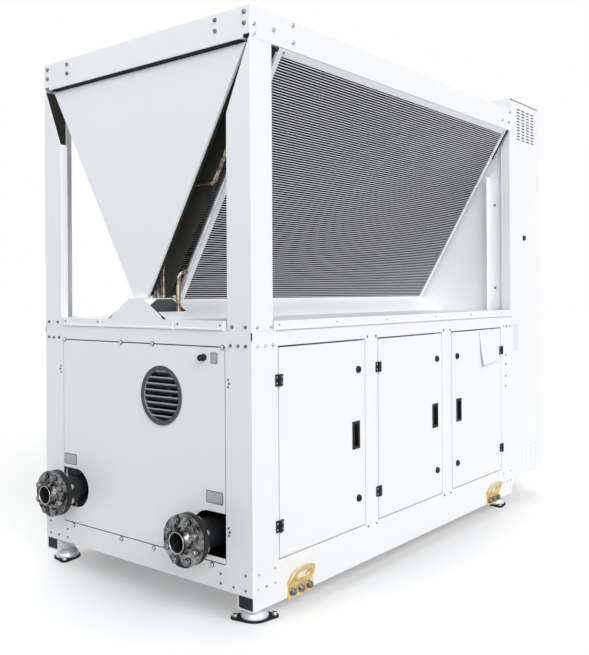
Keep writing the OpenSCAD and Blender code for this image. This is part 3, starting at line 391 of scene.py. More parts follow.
# %% [markdown]
# Coil aluminium
#
# A microchannel coil is a stack of flat tubes with folded fins brazed between them. The tube noses catch
# the light and the fins drop away into shade, and the material paints that shade. It measures how deep a
# point lies below the coil's face and how far it lies from the middle of its tube. The middle of a nose
# stays bright, its rounded sides are painted dark, and the fins are painted near black for the shade
# between the tubes, with thin edges painted a little less dark. Real fins lie closer together than the
# 3 mm at which they are drawn.

# %% Make the coil aluminium
FIN_PITCH, TUBE_DRIFT = 3, 70
NOSE_DEPTH, FIN_DEPTH = 0.1, 0.6
NOSE_HALF, NOSE_SOFT = 1.4, 0.3
FACING = 0.7


def coil_face(node):
    """Outward normal of a coil's face, and the middle and half of its depth along that normal."""
    outward = -1 if node == "front_coil" else 1
    faces = [p for p in nodes[node].data.polygons if p.normal.y * outward > FACING]
    normal = max(faces, key=lambda p: p.area).normal.copy()
    depths = [v.co.dot(normal) for v in nodes[node].data.vertices]
    return normal, (min(depths) + max(depths)) / 2, (max(depths) - min(depths)) / 2


def coil_tubes(node):
    """Direction across the tubes, the middle of the first tube along it, and the pitch."""
    normal, core, half_depth = coil_face(node)
    slope = normal.cross(Vector((1, 0, 0)))
    nose = core + half_depth - NOSE_DEPTH * MM
    tips = [v.co for v in nodes[node].data.vertices if v.co.dot(normal) > nose]
    edges = sorted({round(tip.dot(slope), 5) for tip in tips})
    return slope, (edges[0] + edges[1]) / 2, edges[2] - edges[0]


def coil_aluminium(node):
    """Makes the aluminium for one coil, with shade painted by depth and by distance from each tube's middle."""
    normal, core, half_depth = coil_face(node)
    tree, shader, place = finish(node + "_aluminium", Metallic=0.5, Roughness=0.42, Specular_IOR_Level=0.1)
    along = add(tree, "VectorMath", {0: place, 1: normal}, operation="DOT_PRODUCT").outputs["Value"]
    from_core = add(tree, "Math", {0: along, 1: core}, operation="SUBTRACT").outputs[0]
    height = add(tree, "Math", {0: from_core}, operation="ABSOLUTE").outputs[0]
    # Painted shade: points further below the coil's face turn dark.
    sunk = add(tree, "MapRange", {
        "Value": height, "From Min": half_depth - NOSE_DEPTH * MM, "From Max": half_depth - FIN_DEPTH * MM,
    }).outputs["Result"]
    slope, first, pitch = coil_tubes(node)
    across = add(tree, "VectorMath", {0: place, 1: slope}, operation="DOT_PRODUCT").outputs["Value"]
    across = add(tree, "Math", {0: across, 1: first}, operation="SUBTRACT").outputs[0]
    across = add(tree, "Math", {0: across, 1: pitch / 2, 2: -pitch / 2}, operation="WRAP").outputs[0]
    across = add(tree, "Math", {0: across}, operation="ABSOLUTE").outputs[0]
    # Painted shade: the rounded sides of each tube nose turn dark.
    side_shade = add(tree, "MapRange", {
        "Value": across, "From Min": (NOSE_HALF - NOSE_SOFT) * MM, "From Max": (NOSE_HALF + NOSE_SOFT) * MM,
    }).outputs["Result"]
    dark = add(tree, "Math", {0: sunk, 1: side_shade}, operation="MAXIMUM").outputs[0]
    x = add(tree, "SeparateXYZ", {"Vector": place}).outputs["X"]
    phase = add(tree, "Math", {0: x, 1: 2 * math.pi / (FIN_PITCH * MM)}, operation="MULTIPLY").outputs[0]
    wave = add(tree, "Math", {0: phase}, operation="SINE").outputs[0]
    edge = add(tree, "MapRange", {"Value": wave, "From Min": 0.2, "From Max": 0.9}).outputs["Result"]
    # Painted shade: the fins are near black, and their edges are a little less dark.
    fin_shade = blend(tree, edge, "010101", "0E0F10")
    drift = add(tree, "TexNoise", {"Vector": place, "Scale": per_metre(TUBE_DRIFT), "Detail": 3})
    tubes = blend(tree, drift.outputs["Fac"], "E6E9EB", "F4F5F7")
    tone = add(tree, "MixRGB", {"Fac": dark, "Color1": tubes, "Color2": fin_shade})
    tree.links.new(tone.outputs["Color"], shader.inputs["Base Color"])


for node in ("front_coil", "back_coil"):
    coil_aluminium(node)
    print(node, "normal", [round(c, 3) for c in coil_face(node)[0]], "pitch", round(coil_tubes(node)[2], 5))

# %% [markdown]
# Dress the frame
#
# The record names a finish for each node, and the coils and the foot cups get one of their own here. The
# points of a node are never moved. Where its finish has an edge width, its shading is made smooth and
# modifiers soften it: sheet steel is folded over a radius, so its edges get a small bevel that catches the
# light. Welding and dissolving flat triangles first lets the bevel run clean along each fold.

# %% Give each node its finish and its folded edges
EDGE_MM = {
    "white_powder_coat": 1.3, "yellow_zinc_plate": 1.2, "black_polymer": 0.8, "black_rubber": 1.5,
    "turned_steel": 1, "black_coated_steel": 1, "dark_painted_sheet": 0.8, "grey_vent_plastic": 0.8,
}
SHARP, FLAT = math.radians(40), math.radians(0.5)
WELD_GAP = 0.02
OWN_FINISH = {
    "front_coil": "front_coil_aluminium", "back_coil": "back_coil_aluminium", "foot_cups": "satin_zinc_cup",
}


def soften(node, width_mm):
    """Rounds a node's sharp edges with modifiers and shades its curves smooth."""
    body = nodes[node]
    for layer in ("custom_normal", "sharp_edge", "sharp_face"):
        if layer in body.data.attributes:
            body.data.attributes.remove(body.data.attributes[layer])
    body.data.shade_smooth()
    weld = body.modifiers.new("weld", "WELD")
    weld.merge_threshold = WELD_GAP * MM
    flatten = body.modifiers.new("flatten", "DECIMATE")
    flatten.decimate_type = "DISSOLVE"
    flatten.angle_limit = FLAT
    edge = body.modifiers.new("fold", "BEVEL")
    edge.width = width_mm * MM
    edge.segments = 2
    edge.limit_method = "ANGLE"
    edge.angle_limit = SHARP
    edge.harden_normals = True


for part in frame["record"]["subparts"]:
    node, slot = part["node"], part["material_slot"]
    nodes[node].data.materials.clear()
    nodes[node].data.materials.append(finishes[OWN_FINISH.get(node, slot)])
    if slot in EDGE_MM:
        soften(node, EDGE_MM[slot])

# %% [markdown]
# Turned hardware
#
# Bolts, nuts, washers and screws are all turned or forged about one axis. A helper spins a list of rings
# into a closed mesh, and a ring may be a hexagon. A second helper sets copies of it on a list of places,
# so that a whole row of bolts is one piece.

# %% Define the hardware helpers
SIDES = 24


def turned(rings, hollow=False):
    """Closed mesh about +Z. A ring is (radius, height), or (half the flats, height, 6) for a hexagon."""
    made = bmesh.new()
    loops = []
    for radius, height, *flats in rings:
        loop = []
        for i in range(SIDES):
            angle = 2 * math.pi * i / SIDES
            from_flat = (angle + math.pi / 6) % (math.pi / 3) - math.pi / 6
            reach = radius / math.cos(from_flat) if flats else radius
            loop.append(made.verts.new((reach * math.cos(angle), reach * math.sin(angle), height)))
        loops.append(loop)
    for low, high in zip(loops, loops[1:] + (loops[:1] if hollow else [])):
        for i in range(SIDES):
            made.faces.new((low[i], low[(i + 1) % SIDES], high[(i + 1) % SIDES], high[i]))
    if not hollow:
        made.faces.new(list(reversed(loops[0])))
        made.faces.new(loops[-1])
    return made


def upright(place, outward, spin=0):
    """Matrix that stands a piece made along +Z on a place, along the outward direction."""
    turn = Vector(outward).to_track_quat("Z", "Y").to_matrix().to_4x4()
    return Matrix.Translation(place) @ turn @ Matrix.Rotation(spin, 4, "Z")


def piece(name, made, slot, body="chiller_frame"):
    """Turns a bmesh into a named piece that rides on a body."""
    mesh = bpy.data.meshes.new(name)
    bmesh.ops.recalc_face_normals(made, faces=made.faces)
    made.to_mesh(mesh)
    made.free()
    mesh.materials.append(finishes[slot])
    mesh.shade_smooth()
    mesh.set_sharp_from_angle(angle=SHARP)
    done = bpy.data.objects.new(name, mesh)
    bpy.context.scene.collection.objects.link(done)
    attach(done, body)
    return done


def row(name, shapes, spots, slot, body="chiller_frame", hollow=False):
    """One piece with a copy of each shape at each spot, given as a matrix."""
    made = bmesh.new()
    for shape in shapes:
        single = turned(shape, hollow)
        mesh = bpy.data.meshes.new("single")
        single.to_mesh(mesh)
        single.free()
        for spot in spots:
            first = len(made.verts)
            made.from_mesh(mesh)
            made.verts.ensure_lookup_table()
            bmesh.ops.transform(made, matrix=spot, verts=made.verts[first:])
        bpy.data.meshes.remove(mesh)
    print(name, "x", len(spots))
    return piece(name, made, slot, body)


def washer(radius, thick, base=0):
    """Rings of a washer with softened rims."""
    soft = thick * 0.3
    top = base + thick
    return [(radius - soft, base), (radius, base + soft), (radius, top - soft), (radius - soft, top)]


def hex_head(flats, high, base=0):
    """Rings of a hexagon head with its chamfered crown."""
    half = flats / 2
    return [
        (half, base, 6), (half, base + high * 0.82, 6),
        (half * 0.97, base + high * 0.92), (half * 0.9, base + high),
    ]


def socket_screw(radius, high):
    """Rings of a low round head with a drive socket sunk in its crown."""
    return [
        (radius, 0), (radius, high * 0.45), (radius * 0.85, high * 0.85), (radius * 0.55, high),
        (radius * 0.45, high), (radius * 0.42, high * 0.35),
    ]


# %% [markdown]
# Frame bolts
#
# The beams, posts and base corners are bolted together with zinc plated hexagon bolts in short rows,
# and the thin covers are held by low round screws. The rows repeat at each corner, so each is
# written once as distances from a corner and carried to the other corners. Two more bolts sit on the inner
# leg of each post at the cabinet end. The bolts on the sides are bright zinc and those on the water end
# dark zinc, partly as painted light and shade: the sides stand in full light and the water end in shade.

# %% Bolt the frame together
BEAM_BOLT = [washer(8 * MM, 1.6 * MM), hex_head(12 * MM, 6 * MM, 1.6 * MM)]
POST_BOLT = [washer(6.5 * MM, 1.2 * MM), hex_head(9 * MM, 4.5 * MM, 1.2 * MM)]
SCREW = [socket_screw(4.8 * MM, 3 * MM)]


def end_spot(in_from_side, height, side, proud=0):
    """Spot on the water end, measured from its front (-1) or back (1) corner."""
    y = front + in_from_side * MM if side < 0 else back - in_from_side * MM
    return upright((left - proud * MM, y, height), (-1, 0, 0))


def side_spot(in_from_end, height, side, end, proud=0):
    """Spot on the door side (-1) or back side (1), measured from the left (-1) or right (1) corner."""
    x = left + in_from_end * MM if end < 0 else right - in_from_end * MM
    y = front - proud * MM if side < 0 else back + proud * MM
    return upright((x, y, height), (0, side, 0))


BEAM_END = [(25, 50), (25, 89), (165, 50), (165, 89)]
BEAM_SIDE = {
    -1: [(18, 14), (18, 48), (126, 52), (235, 32), (235, 96)],
    1: [(26, 46), (16, 102), (112, 44)],
}
POST_FOOT_END, POST_FOOT_SIDE = (27, 90), (29, 101)
BASE_ROW_END, BASE_ROW_SIDE = (27, 62, 99), (29, 71, 112)
POST_ROW_UP, BASE_ROW_DOWN = 15, 51
INNER_LEG, LEG_SHEET = [(95, 1182), (95, 1642)], 3
beams, posts, side_beams, side_posts = [], [], [], []
for side in (-1, 1):
    beams += [end_spot(d, beam_low + z * MM, side) for d, z in BEAM_END]
    posts += [end_spot(d, seam + POST_ROW_UP * MM, side) for d in POST_FOOT_END]
    posts += [end_spot(d, seam - BASE_ROW_DOWN * MM, side) for d in BASE_ROW_END]
    for end in (-1, 1):
        side_beams += [side_spot(d, beam_low + z * MM, side, end) for d, z in BEAM_SIDE[end]]
        side_posts += [side_spot(d, seam - BASE_ROW_DOWN * MM, side, end) for d in BASE_ROW_SIDE]
    side_posts += [side_spot(d, seam + POST_ROW_UP * MM, side, -1) for d in POST_FOOT_SIDE]
    for d, z in INNER_LEG:
        posts.append(upright((right - LEG_SHEET * MM, side * (back - d * MM), z * MM), (-1, 0, 0)))
# Painted shade: bolts on the water end take the dark zinc, and those on the sides, in full light, the bright.
row("beam_bolts", BEAM_BOLT, beams, "dull_zinc_painted_shade")
row("post_bolts", POST_BOLT, posts, "dull_zinc_painted_shade")
row("side_beam_bolts", BEAM_BOLT, side_beams, "zinc_plated_steel")
row("side_post_bolts", POST_BOLT, side_posts, "zinc_plated_steel")

# %% [markdown]
# Corner, mullion and lip screws
#
# Low screws fix the base corners to the rails, the mullions to the head rail and the sill, and the deck
# lips to the frame. The groups of three beside the end panel hold its hooks, and four screws in the last
# post tie it to the cabinet.

# %% Screw the base and the lips
CORNER_END = [(32, 124), (32, 72), (90, 73), (152, 107), (152, 73), (199, 130)]
CORNER_SIDE = [(29, 126), (29, 74), (71, 75), (119, 126), (119, 75)]
HOOK_HEIGHTS, HOOK_IN, HOOK_SIDE_IN, HOOK_STEP = (840, 317), 106, 111, 13
CABINET_TIES, TIE_IN = (817, 769, 704, 649), 86
LIP_SIDE, LIP_END, LIP_UP, LIP_SHEET = (146, 500, 860), (146, 365), 20, 3
MULLION_IN, BELOW_DOOR, ABOVE_DOOR = 20, 9, 8
LIP_SCREW = [socket_screw(4 * MM, 2.5 * MM)]
spots, small, bright, bright_small = [], [], [], []
for side in (-1, 1):
    spots += [end_spot(d, foot_top + z * MM, side) for d, z in CORNER_END]
    for z in HOOK_HEIGHTS:
        spots.append(end_spot(HOOK_IN, z * MM, side))
        small += [end_spot(HOOK_SIDE_IN, (z + dz) * MM, side) for dz in (-HOOK_STEP, HOOK_STEP)]
    for end in (-1, 1):
        bright += [side_spot(d, foot_top + z * MM, side, end) for d, z in CORNER_SIDE]
        bright_small += [side_spot(d, seam + LIP_UP * MM, side, end, LIP_SHEET) for d in LIP_SIDE]
    spots += [side_spot(TIE_IN, z * MM, side, 1) for z in CABINET_TIES]
    small += [end_spot(d, seam + LIP_UP * MM, side, LIP_SHEET) for d in LIP_END]
door_1_high, door_2_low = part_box("door_1")[1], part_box("door_2")[0]
door_2_high, door_3_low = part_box("door_2")[1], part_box("door_3")[0]
head_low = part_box("side_head_rails")[0].z
for a, b in ((door_1_high.x, door_2_low.x), (door_2_high.x, door_3_low.x)):
    for x in (a + MULLION_IN * MM, b - MULLION_IN * MM):
        for z in (rail_top - BELOW_DOOR * MM, head_low + ABOVE_DOOR * MM):
            spots += [upright((x, y, z), (0, s, 0)) for y, s in ((front, -1), (back, 1))]
# Dark zinc and bright zinc are split by place, partly as painted shade and light.
row("base_screws", SCREW, spots, "dull_zinc_painted_shade")
row("lip_screws", LIP_SCREW, small, "dull_zinc_painted_shade")
row("side_base_screws", SCREW, bright, "zinc_plated_steel")
row("side_lip_screws", LIP_SCREW, bright_small, "zinc_plated_steel")

# %% [markdown]
# End panel clips
#
# The end panel lifts off. Quarter turn fasteners hold it along its top joint and just below its bottom
# joint, each a domed zinc head on a black washer. The black washer is partly painted shade, for the
# shadow under each head. A foam seal fills the joint and draws the dark line round the panel, partly as
# painted shade where the joint lies in shade.

# %% Set the end panel clips
CLIP_TOP, CLIP_LOW = (93, 462), (95, 406)
CLIP_WASHER, CLIP_RISE, CLIP_DROP = 3, 2, 13
panel_low, panel_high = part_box("left_end_panel")
caps = []
for s in (-1, 1):
    caps += [upright((left, s * d * MM, panel_high.z + CLIP_RISE * MM), (-1, 0, 0)) for d in CLIP_TOP]
    caps += [upright((left, s * d * MM, panel_low.z - CLIP_DROP * MM), (-1, 0, 0)) for d in CLIP_LOW]
# Partly painted shade: the black washers stand in for the shadow under each head.
row("clip_washers", [washer(9.5 * MM, CLIP_WASHER * MM)], caps, "black_polymer")
tops = [m @ Matrix.Translation((0, 0, CLIP_WASHER * MM)) for m in caps]
row("clip_heads", [socket_screw(8 * MM, 4 * MM)], tops, "zinc_plated_steel")


def bar(made, low, high):
    """Adds a straight bar with soft edges between two corners to a mesh."""
    shift = Matrix.Translation([(a + b) / 2 for a, b in zip(low, high)])
    size = Matrix.Diagonal([b - a for a, b in zip(low, high)] + [1])
    corners = bmesh.ops.create_cube(made, size=1, matrix=shift @ size)["verts"]
    edges = list({edge for corner in corners for edge in corner.link_edges})
    soft = min(size[i][i] for i in range(3)) * 0.2
    bmesh.ops.bevel(made, geom=edges, offset=soft, segments=2, affect="EDGES")


# Partly painted shade: the seal darkens the joint line where it lies in shade.
SEAL_BACK, SEAL_DEEP, SEAL_WIDE = 2 * MM, 8 * MM, 4 * MM
SEAL_PROUD, SEAL_LAP = 0.4 * MM, 1.5 * MM
made = bmesh.new()
near, far = left + SEAL_BACK, left + SEAL_BACK + SEAL_DEEP
outer_low, outer_high = panel_low.y - SEAL_WIDE, panel_high.y + SEAL_WIDE
bar(made, (near, outer_low, panel_high.z), (far, outer_high, panel_high.z + SEAL_WIDE))
for low, high in ((outer_low, panel_low.y), (panel_high.y, outer_high)):
    bar(made, (near, low, panel_low.z), (far, high, panel_high.z))
low = (left - SEAL_PROUD, panel_low.y, panel_low.z - SEAL_WIDE)
bar(made, low, (far, panel_high.y, panel_low.z + SEAL_LAP))
piece("end_panel_seal", made, "black_rubber")

# %% [markdown]
# Flange bolts
#
# Each water connection is a pair of flanges with eight bolts through both. Heads show on the steel
# flange, nuts and thread ends behind the black one. The bore of each neck keeps a skin of mill scale,
# and a bright land is cut round its mouth.

# %% Bolt the flanges
FLANGE_BOLTS = 8
BOLT_CIRCLE = 72.5 * MM
NECK, BORE, BLACK_FLANGE = 25, 35, 20
FLANGE_BOLT = [washer(14 * MM, 3 * MM), hex_head(24 * MM, 10 * MM, 3 * MM)]
THREAD_END = [(8 * MM, 0), (8 * MM, 20 * MM), (7 * MM, 21 * MM)]
FLANGE_NUT = [washer(14 * MM, 3 * MM), hex_head(24 * MM, 13 * MM, 3 * MM), THREAD_END]
face_x = flange_low.x + NECK * MM
back_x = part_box("water_pipes")[0].x + BLACK_FLANGE * MM
heads, nuts = [], []
for y, z in axes:
    for i in range(FLANGE_BOLTS):
        angle = (i + 0.5) * 2 * math.pi / FLANGE_BOLTS
        dy, dz = BOLT_CIRCLE * math.cos(angle), BOLT_CIRCLE * math.sin(angle)
        heads.append(upright((face_x, y + dy, z + dz), (-1, 0, 0), angle))
        nuts.append(upright((back_x, y + dy, z + dz), (1, 0, 0), angle))
row("flange_bolts", FLANGE_BOLT, heads, "dull_zinc_painted_shade")
BORE_SKIN = [(r * MM, d * MM) for r, d in (
    (BORE - 0.1, 0.5), (BORE - 0.1, 44), (BORE - 0.8, 44), (BORE - 1.2, 3), (BORE - 0.6, 0.5),
)]
mouths = [upright((flange_low.x, y, z), (1, 0, 0)) for y, z in axes]
row("neck_bores", [BORE_SKIN], mouths, "scaled_steel", hollow=True)
LAND = [(r * MM, d * MM) for r, d in (
    (BORE, 0), (BORE + 2.6, 0), (BORE + 2.4, -0.8), (BORE + 0.6, -1),
)]
row("neck_lands", [LAND], mouths, "zinc_plated_steel", hollow=True)
row("flange_nuts", FLANGE_NUT, nuts, "zinc_plated_steel")

# %% [markdown]
# Lug and foot bolts
#
# Three big hexagon bolts hold each lifting lug to the base rail, and two anchors hold each foot.

# %% Bolt the lugs and the feet
LUG_BOLT = [washer(15 * MM, 2.5 * MM), hex_head(24 * MM, 11 * MM, 2.5 * MM)]
FOOT_BOLT = [washer(11 * MM, 2 * MM), hex_head(17 * MM, 8 * MM, 2 * MM)]
LUG_ROW = (-49, 0, 49)
LUG_X, LUG_Z, LUG_T = 258, 18, 6
FOOT_X, FOOT_FRONT, FOOT_BACK, FOOT_T, FOOT_HALF = 84, 66, 30, 8, 70
spots, anchors = [], []
for side in (-1, 1):
    for end in (-1, 1):
        spots += [side_spot(LUG_X + d, foot_top + LUG_Z * MM, side, end, LUG_T) for d in LUG_ROW]
        x = left + FOOT_X * MM if end < 0 else right - FOOT_X * MM
        y = front + FOOT_FRONT * MM if side < 0 else back - FOOT_BACK * MM
        for s in (-1, 1):
            slant = FOOT_HALF * MM * s / math.sqrt(2)
            anchors.append(upright((x + slant * -end, y + slant * side, FOOT_T * MM), (0, 0, 1)))
row("lug_bolts", LUG_BOLT, spots, "dull_zinc_painted_shade")
row("foot_bolts", FOOT_BOLT, anchors, "zinc_plated_steel")

# %% [markdown]
# Hinge screws
#
# Two low screws hold each hinge leaf. Those in the frame leaf stay with the frame, and those in
# the door leaf swing with the door.

# %% Screw the hinges
HINGE_SCREW = [socket_screw(3.6 * MM, 1.6 * MM)]
LEAF_IN, LEAF_T, LEAF_STEP, LEAF_HALF = 13.5, 5, 11, 21
joints = {j["name"]: j for j in frame["joints"]}
hinge_low, hinge_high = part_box("frame_hinges")
hinge_rows = (hinge_low.z + LEAF_HALF * MM, hinge_high.z - LEAF_HALF * MM)
frame_side = []
for number in (1, 2, 3):
    body = "door_%d" % number
    pin_x = joints[body + "_hinge"]["pos_m"][0]
    door_low, door_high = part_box(body)
    to_door = 1 if pin_x < (door_low.x + door_high.x) / 2 else -1
    door_side = []
    for z in hinge_rows:
        for dz in (-LEAF_STEP, LEAF_STEP):
            for sign, into in ((to_door, door_side), (-to_door, frame_side)):
                spot = (pin_x + sign * LEAF_IN * MM, front - LEAF_T * MM, z + dz * MM)
                into.append(upright(spot, (0, -1, 0)))
    row(body + "_hinge_screws", HINGE_SCREW, door_side, "zinc_plated_steel", body)
row("frame_hinge_screws", HINGE_SCREW, frame_side, "zinc_plated_steel")

# %% [markdown]
# Blank plates
#
# Small plates sit beside the gland and over the water pipes, and one on the cabinet. All are blank here.
# White baffles keep splashes out of the cabinet's lower louvres. Each is an outline with round corners,
# given a thickness and a softened rim.

# %% Make the plates
CORNER_STEPS = 5


def plate(name, width, high, thick, corner, spot, slot, body="chiller_frame"):
    """Flat plate with round corners, standing on a spot given as a matrix."""
    made = bmesh.new()
    outline = []
    for cx, cy, start in ((1, 1, 0), (-1, 1, 90), (-1, -1, 180), (1, -1, 270)):
        for i in range(CORNER_STEPS + 1):
            angle = math.radians(start + 90 * i / CORNER_STEPS)
            x = cx * (width / 2 - corner) + corner * math.cos(angle)
            y = cy * (high / 2 - corner) + corner * math.sin(angle)
            outline.append(made.verts.new((x * MM, y * MM, 0)))
    face = made.faces.new(outline)
    lifted = bmesh.ops.extrude_face_region(made, geom=[face])["geom"]
    top = [v for v in lifted if isinstance(v, bmesh.types.BMVert)]
    bmesh.ops.translate(made, verts=top, vec=(0, 0, thick * MM))
    rim = [e for e in made.edges if all(v in top for v in e.verts)]
    bmesh.ops.bevel(made, geom=rim, offset=thick * 0.3 * MM, segments=2, affect="EDGES")
    bmesh.ops.transform(made, matrix=spot, verts=made.verts)
    return piece(name, made, slot, body)


PLATE_GRAIN = 6
PLATE_FINISHES = {
    "engraved_aluminium": ("989C9E", "BCBFC1", 0.4),
    "white_label_film": ("DFE1E2", "E8E9EA", 0),
}
for name, (dark, pale, metal) in PLATE_FINISHES.items():
    tree, shader, place = finish(name, Metallic=metal)
    lines = add(tree, "TexNoise", {"Vector": place, "Scale": per_metre(PLATE_GRAIN), "Detail": 4})
    tree.links.new(blend(tree, lines.outputs["Fac"], dark, pale), shader.inputs["Base Color"])
    gloss = add(tree, "MapRange", {"Value": lines.outputs["Fac"], "To Min": 0.32, "To Max": 0.5})
    tree.links.new(gloss.outputs["Result"], shader.inputs["Roughness"])
# A plate has its width, height, thickness and corner radius.
PIPE_PLATE, PIPE_BACKING = (79, 40, 1.2, 4), (84, 45, 0.6, 5)
GLAND_PLATE, GLAND_BACKING, GLAND_GAP = (30, 36, 1.2, 3), (34, 40, 0.6, 4), 38
CABINET_PLATE, CABINET_PLATE_IN, CABINET_PLATE_UP = (65, 147, 1, 4), 2198, 852
BAFFLE, BAFFLE_UP, BAFFLE_SUNK = (262, 190, 1.2, 4), 115, 4.4
PIPE_PLATES = {"back_pipe_plate": (1026, 408), "front_pipe_plate": (180, 373)}
panel_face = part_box("left_end_panel")[0].x
for name, (in_from_door, high) in PIPE_PLATES.items():
    spot = upright((panel_face, front + in_from_door * MM, foot_top + high * MM), (-1, 0, 0))
    plate(name, *PIPE_PLATE, spot, "engraved_aluminium")
    plate(name + "_backing", *PIPE_BACKING, spot, "black_polymer")
gland_low, gland_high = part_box("cable_gland")
spot = upright((panel_face, gland_low.y - GLAND_GAP * MM, (gland_low.z + gland_high.z) / 2), (-1, 0, 0))
plate("gland_plate", *GLAND_PLATE, spot, "engraved_aluminium")
plate("gland_plate_backing", *GLAND_BACKING, spot, "black_polymer")
cabinet_low, cabinet_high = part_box("cabinet_sides")
place = (left + CABINET_PLATE_IN * MM, cabinet_low.y, foot_top + CABINET_PLATE_UP * MM)
plate("cabinet_plate", *CABINET_PLATE, upright(place, (0, -1, 0)), "white_label_film")
baffle_x = (cabinet_low.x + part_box("cabinet_cover")[1].x) / 2
for name, y, s in (("front_louvre_baffle", cabinet_low.y, -1), ("back_louvre_baffle", cabinet_high.y, 1)):
    spot = upright((baffle_x, y - s * BAFFLE_SUNK * MM, cabinet_low.z + BAFFLE_UP * MM), (0, s, 0))
    plate(name, *BAFFLE, spot, "white_powder_coat")
print("finishes", len(finishes))

# %% [markdown]
# Painted shade: dark strips and sheets
#
# Black foam strips lie in the joint between each V panel and the beam over it. At the water end dark
# sheet lines the posts behind their slanted cuts, foam bars fill the open corners of the head rails, and a
# dark tray holds the pipes where they drop into the ridge. All are painted shade. They are dark pieces set
# where the gaps, cuts and hollows between the white sheets lie in shade, so they draw the dark lines there.

# %% Lay the painted shade strips
# Painted shade: black strips in the joint over each V panel, where it lies in shade under the beam.
SHADE_STRIP_IN, SHADE_STRIP_OUT, SHADE_STRIP_HIGH, SHADE_STRIP_SHORT = 5, 40, 5, 12
v_low, v_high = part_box("v_end_panels")
made = bmesh.new()
for x, s in ((left, 1), (right, -1)):
    near, far = sorted((x + s * SHADE_STRIP_IN * MM, x + s * SHADE_STRIP_OUT * MM))
    ends = (v_low.y + SHADE_STRIP_SHORT * MM, v_high.y - SHADE_STRIP_SHORT * MM)
    bar(made, (near, ends[0], beam_low - SHADE_STRIP_HIGH * MM), (far, ends[1], beam_low))
piece("v_top_shade_strips", made, "black_rubber")
# Painted shade: dark sheets on the inner faces behind the slanted post cuts, where those lie in shade.
LINER_W, LINER_H, LINER_T, LINER_CORNER = 100, 244, 1.2, 4
LINER_IN, LINER_DROP, SHEET = 55, 4, 3
for name, s in (("front_post_shade_sheet", -1), ("back_post_shade_sheet", 1)):
    middle = (left + LINER_IN * MM, s * (back - SHEET * MM), beam_low - (LINER_DROP + LINER_H / 2) * MM)
    spot = upright(middle, (0, -s, 0))
    plate(name, LINER_W, LINER_H, LINER_T, LINER_CORNER, spot, "dark_painted_sheet")
# Painted shade: black bars in the open corners of the head rails, where the slit lies in shade.
CORNER_LOW, CORNER_HIGH, CORNER_W = 30, 4, 4
made = bmesh.new()
for y, s in ((front, 1), (back, -1)):
    near, far = sorted((y - s * SEAL_PROUD, y + s * CORNER_W * MM))
    low = (left - SEAL_PROUD, near, seam - CORNER_LOW * MM)
    bar(made, low, (left + CORNER_W * MM, far, seam - CORNER_HIGH * MM))
piece("corner_shade_strips", made, "black_rubber")
# Painted shade: a dark tray in the ridge's pipe cut, where the hollow lies in shade.
BED_IN, BED_L, BED_HALF, BED_H = 46, 98, 78, 24
ridge_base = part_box("coil_ridge")[0].z
made = bmesh.new()
for s in (-1, 1):
    near, far = sorted((0, s * BED_HALF * MM))
    high = (left + (BED_IN + BED_L) * MM, far, ridge_base + BED_H * MM)
    bar(made, (left + BED_IN * MM, near, ridge_base), high)
piece("pipe_shade_tray", made, "dark_painted_sheet")
print("seals from", [round(y, 4) for y in ends], "bed", BED_L, "mm long")

# %% [markdown]
# Coil corner clips and painted shade strips
#
# A white washer with a dark screw holds each upper corner of a coil's top channel just below the beam.
# Black foam strips lie beside the coil's upper corners and along the folds of the V panel at the water
# end, as painted shade for the dark gaps there. A strip lies in the coil's own slope, so its place or its
# lie is found from the coil's face.

# %% Clip the coil corners and lay their shade strips
CLIP_IN, CLIP_BELOW, CLIP_T, WRAP = 28, 13, 2, 2
# A strip beside a coil has its shift from the channel's end, its width and its length.
# Painted shade: black strips beside each coil's upper corners and along the V panel's folds.
BESIDE = {"left": (-22, 36, 56), "right": (19, 32, 170)}
BESIDE_T, BESIDE_DROP, BESIDE_SUNK, STRIP_CORNER = 3, 2, 12, 2
FOLD_SHADE_STRIP, FOLD_T, FOLD_IN, FOLD_SHORT = 13, 2.5, 40, 24
channel_low, channel_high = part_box("coil_channels")


def on_face(node, x, z, sunk=0):
    """Spot on a coil's slope at a height, sunk below the face of its wrap."""
    normal, core, half_depth = coil_face(node)
    return upright((x, (core + half_depth + (WRAP - sunk) * MM - normal.z * z) / normal.y, z), normal)


spots = []
for node, side in (("front_coil", -1), ("back_coil", 1)):
    z = beam_low - CLIP_BELOW * MM
    spots += [on_face(node, x, z) for x in (channel_low.x + CLIP_IN * MM, channel_high.x - CLIP_IN * MM)]
    normal = coil_face(node)[0]
    for end, (beside, wide, long) in BESIDE.items():
        x = (channel_low.x if end == "left" else channel_high.x) + beside * MM
        height = beam_low - (long / 2 + BESIDE_DROP) * abs(normal.y) * MM
        spot = on_face(node, x, height, BESIDE_SUNK)
        plate("%s_%s_seal" % (node, end), wide, long, BESIDE_T, STRIP_CORNER, spot, "black_rubber")
    down = Vector((0, side * normal.z, -side * normal.y))
    long = (v_high.z - v_low.z) / abs(normal.y)
    top = Vector((left + FOLD_IN * MM, v_low.y if side < 0 else v_high.y, v_high.z))
    spot = upright(top + down * long / 2, normal)
    strip_long = long / MM - FOLD_SHORT
    plate(node + "_fold_seal", FOLD_SHADE_STRIP, strip_long, FOLD_T, STRIP_CORNER, spot, "black_rubber")
row("coil_clips", [washer(9 * MM, CLIP_T * MM)], spots, "white_powder_coat")
tops = [m @ Matrix.Translation((0, 0, CLIP_T * MM)) for m in spots]
row("coil_clip_screws", [socket_screw(4.5 * MM, 2.5 * MM)], tops, "dull_zinc_painted_shade")

# %% [markdown]
# Card on the third door
#
# A blank white card hangs from the top joint of the third door, a little askew, with its lower corner
# lifting off the paint. A grid of points bends it and a second skin in front gives it thickness.

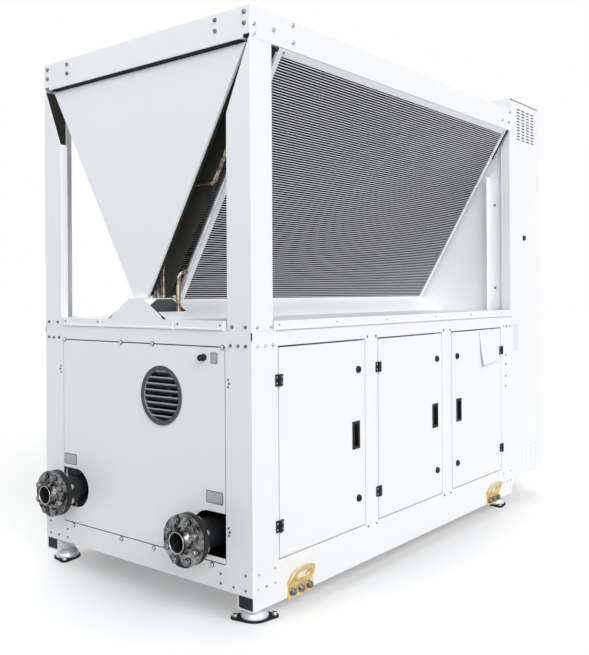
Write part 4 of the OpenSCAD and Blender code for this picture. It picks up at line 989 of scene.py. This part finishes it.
# %% Hang the card
CARD_W, CARD_H, CARD_T = 205, 178, 0.6
CARD_STEPS = 10
CARD_IN, CARD_BELOW = 1852, 3
CARD_OFF, CARD_BOW, CARD_CURL = 1.5, 4, 13
CARD_LEAN, CARD_TILT = 14, 9
card_x, card_top = left + CARD_IN * MM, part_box("door_3")[1].z - CARD_BELOW * MM
made = bmesh.new()
skins = []
for skin in (0, 1):
    grid = []
    for j in range(CARD_STEPS + 1):
        for i in range(CARD_STEPS + 1):
            u, v = i / CARD_STEPS, j / CARD_STEPS
            lift = CARD_OFF + CARD_BOW * v * v + CARD_CURL * (1 - u) ** 2 * v * v + skin * CARD_T
            across = (u - 0.5) * CARD_W + CARD_LEAN * v
            drop = v * CARD_H - CARD_TILT * u * v
            grid.append(made.verts.new((card_x + across * MM, front - lift * MM, card_top - drop * MM)))
    skins.append(grid)
count = CARD_STEPS + 1
for j in range(CARD_STEPS):
    for i in range(CARD_STEPS):
        a = j * count + i
        for grid in skins:
            made.faces.new([grid[k] for k in (a, a + 1, a + count + 1, a + count)])
rim = list(range(count)) + [count * (j + 1) - 1 for j in range(1, count)]
rim += [count * count - 1 - i for i in range(1, count)] + [count * j for j in range(count - 2, 0, -1)]
for a, b in zip(rim, rim[1:] + rim[:1]):
    made.faces.new((skins[0][a], skins[0][b], skins[1][b], skins[1][a]))
piece("door_3_card", made, "white_powder_coat", "door_3")
print("card", CARD_W, "x", CARD_H, "mm")

# %% [markdown]
# Rail plugs as painted shade
#
# The base rails are tubes with open ends. Moulded black plugs sit just inside as painted shade, standing
# in for the dark inside the tubes, and leave the mouths dark.

# %% Plug the base rails
# Painted shade: a black plate just inside each rail mouth.
PLUG, PLUG_BACK = (66, 138, 4, 3), 6
RAIL_W = 76
rail_low, rail_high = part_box("base_rails")
rail_in = rail_low.y + RAIL_W * MM
spots = []
for x, out in ((rail_low.x, -1), (rail_high.x, 1)):
    for s in (-1, 1):
        y = s * -(rail_low.y + rail_in) / 2
        place = (x - out * PLUG_BACK * MM, y, (rail_low.z + rail_high.z) / 2)
        spots.append(upright(place, (out, 0, 0)))
for i, spot in enumerate(spots, 1):
    plate("rail_plug_%d" % i, *PLUG, spot, "black_polymer")
print("plugs", len(spots))
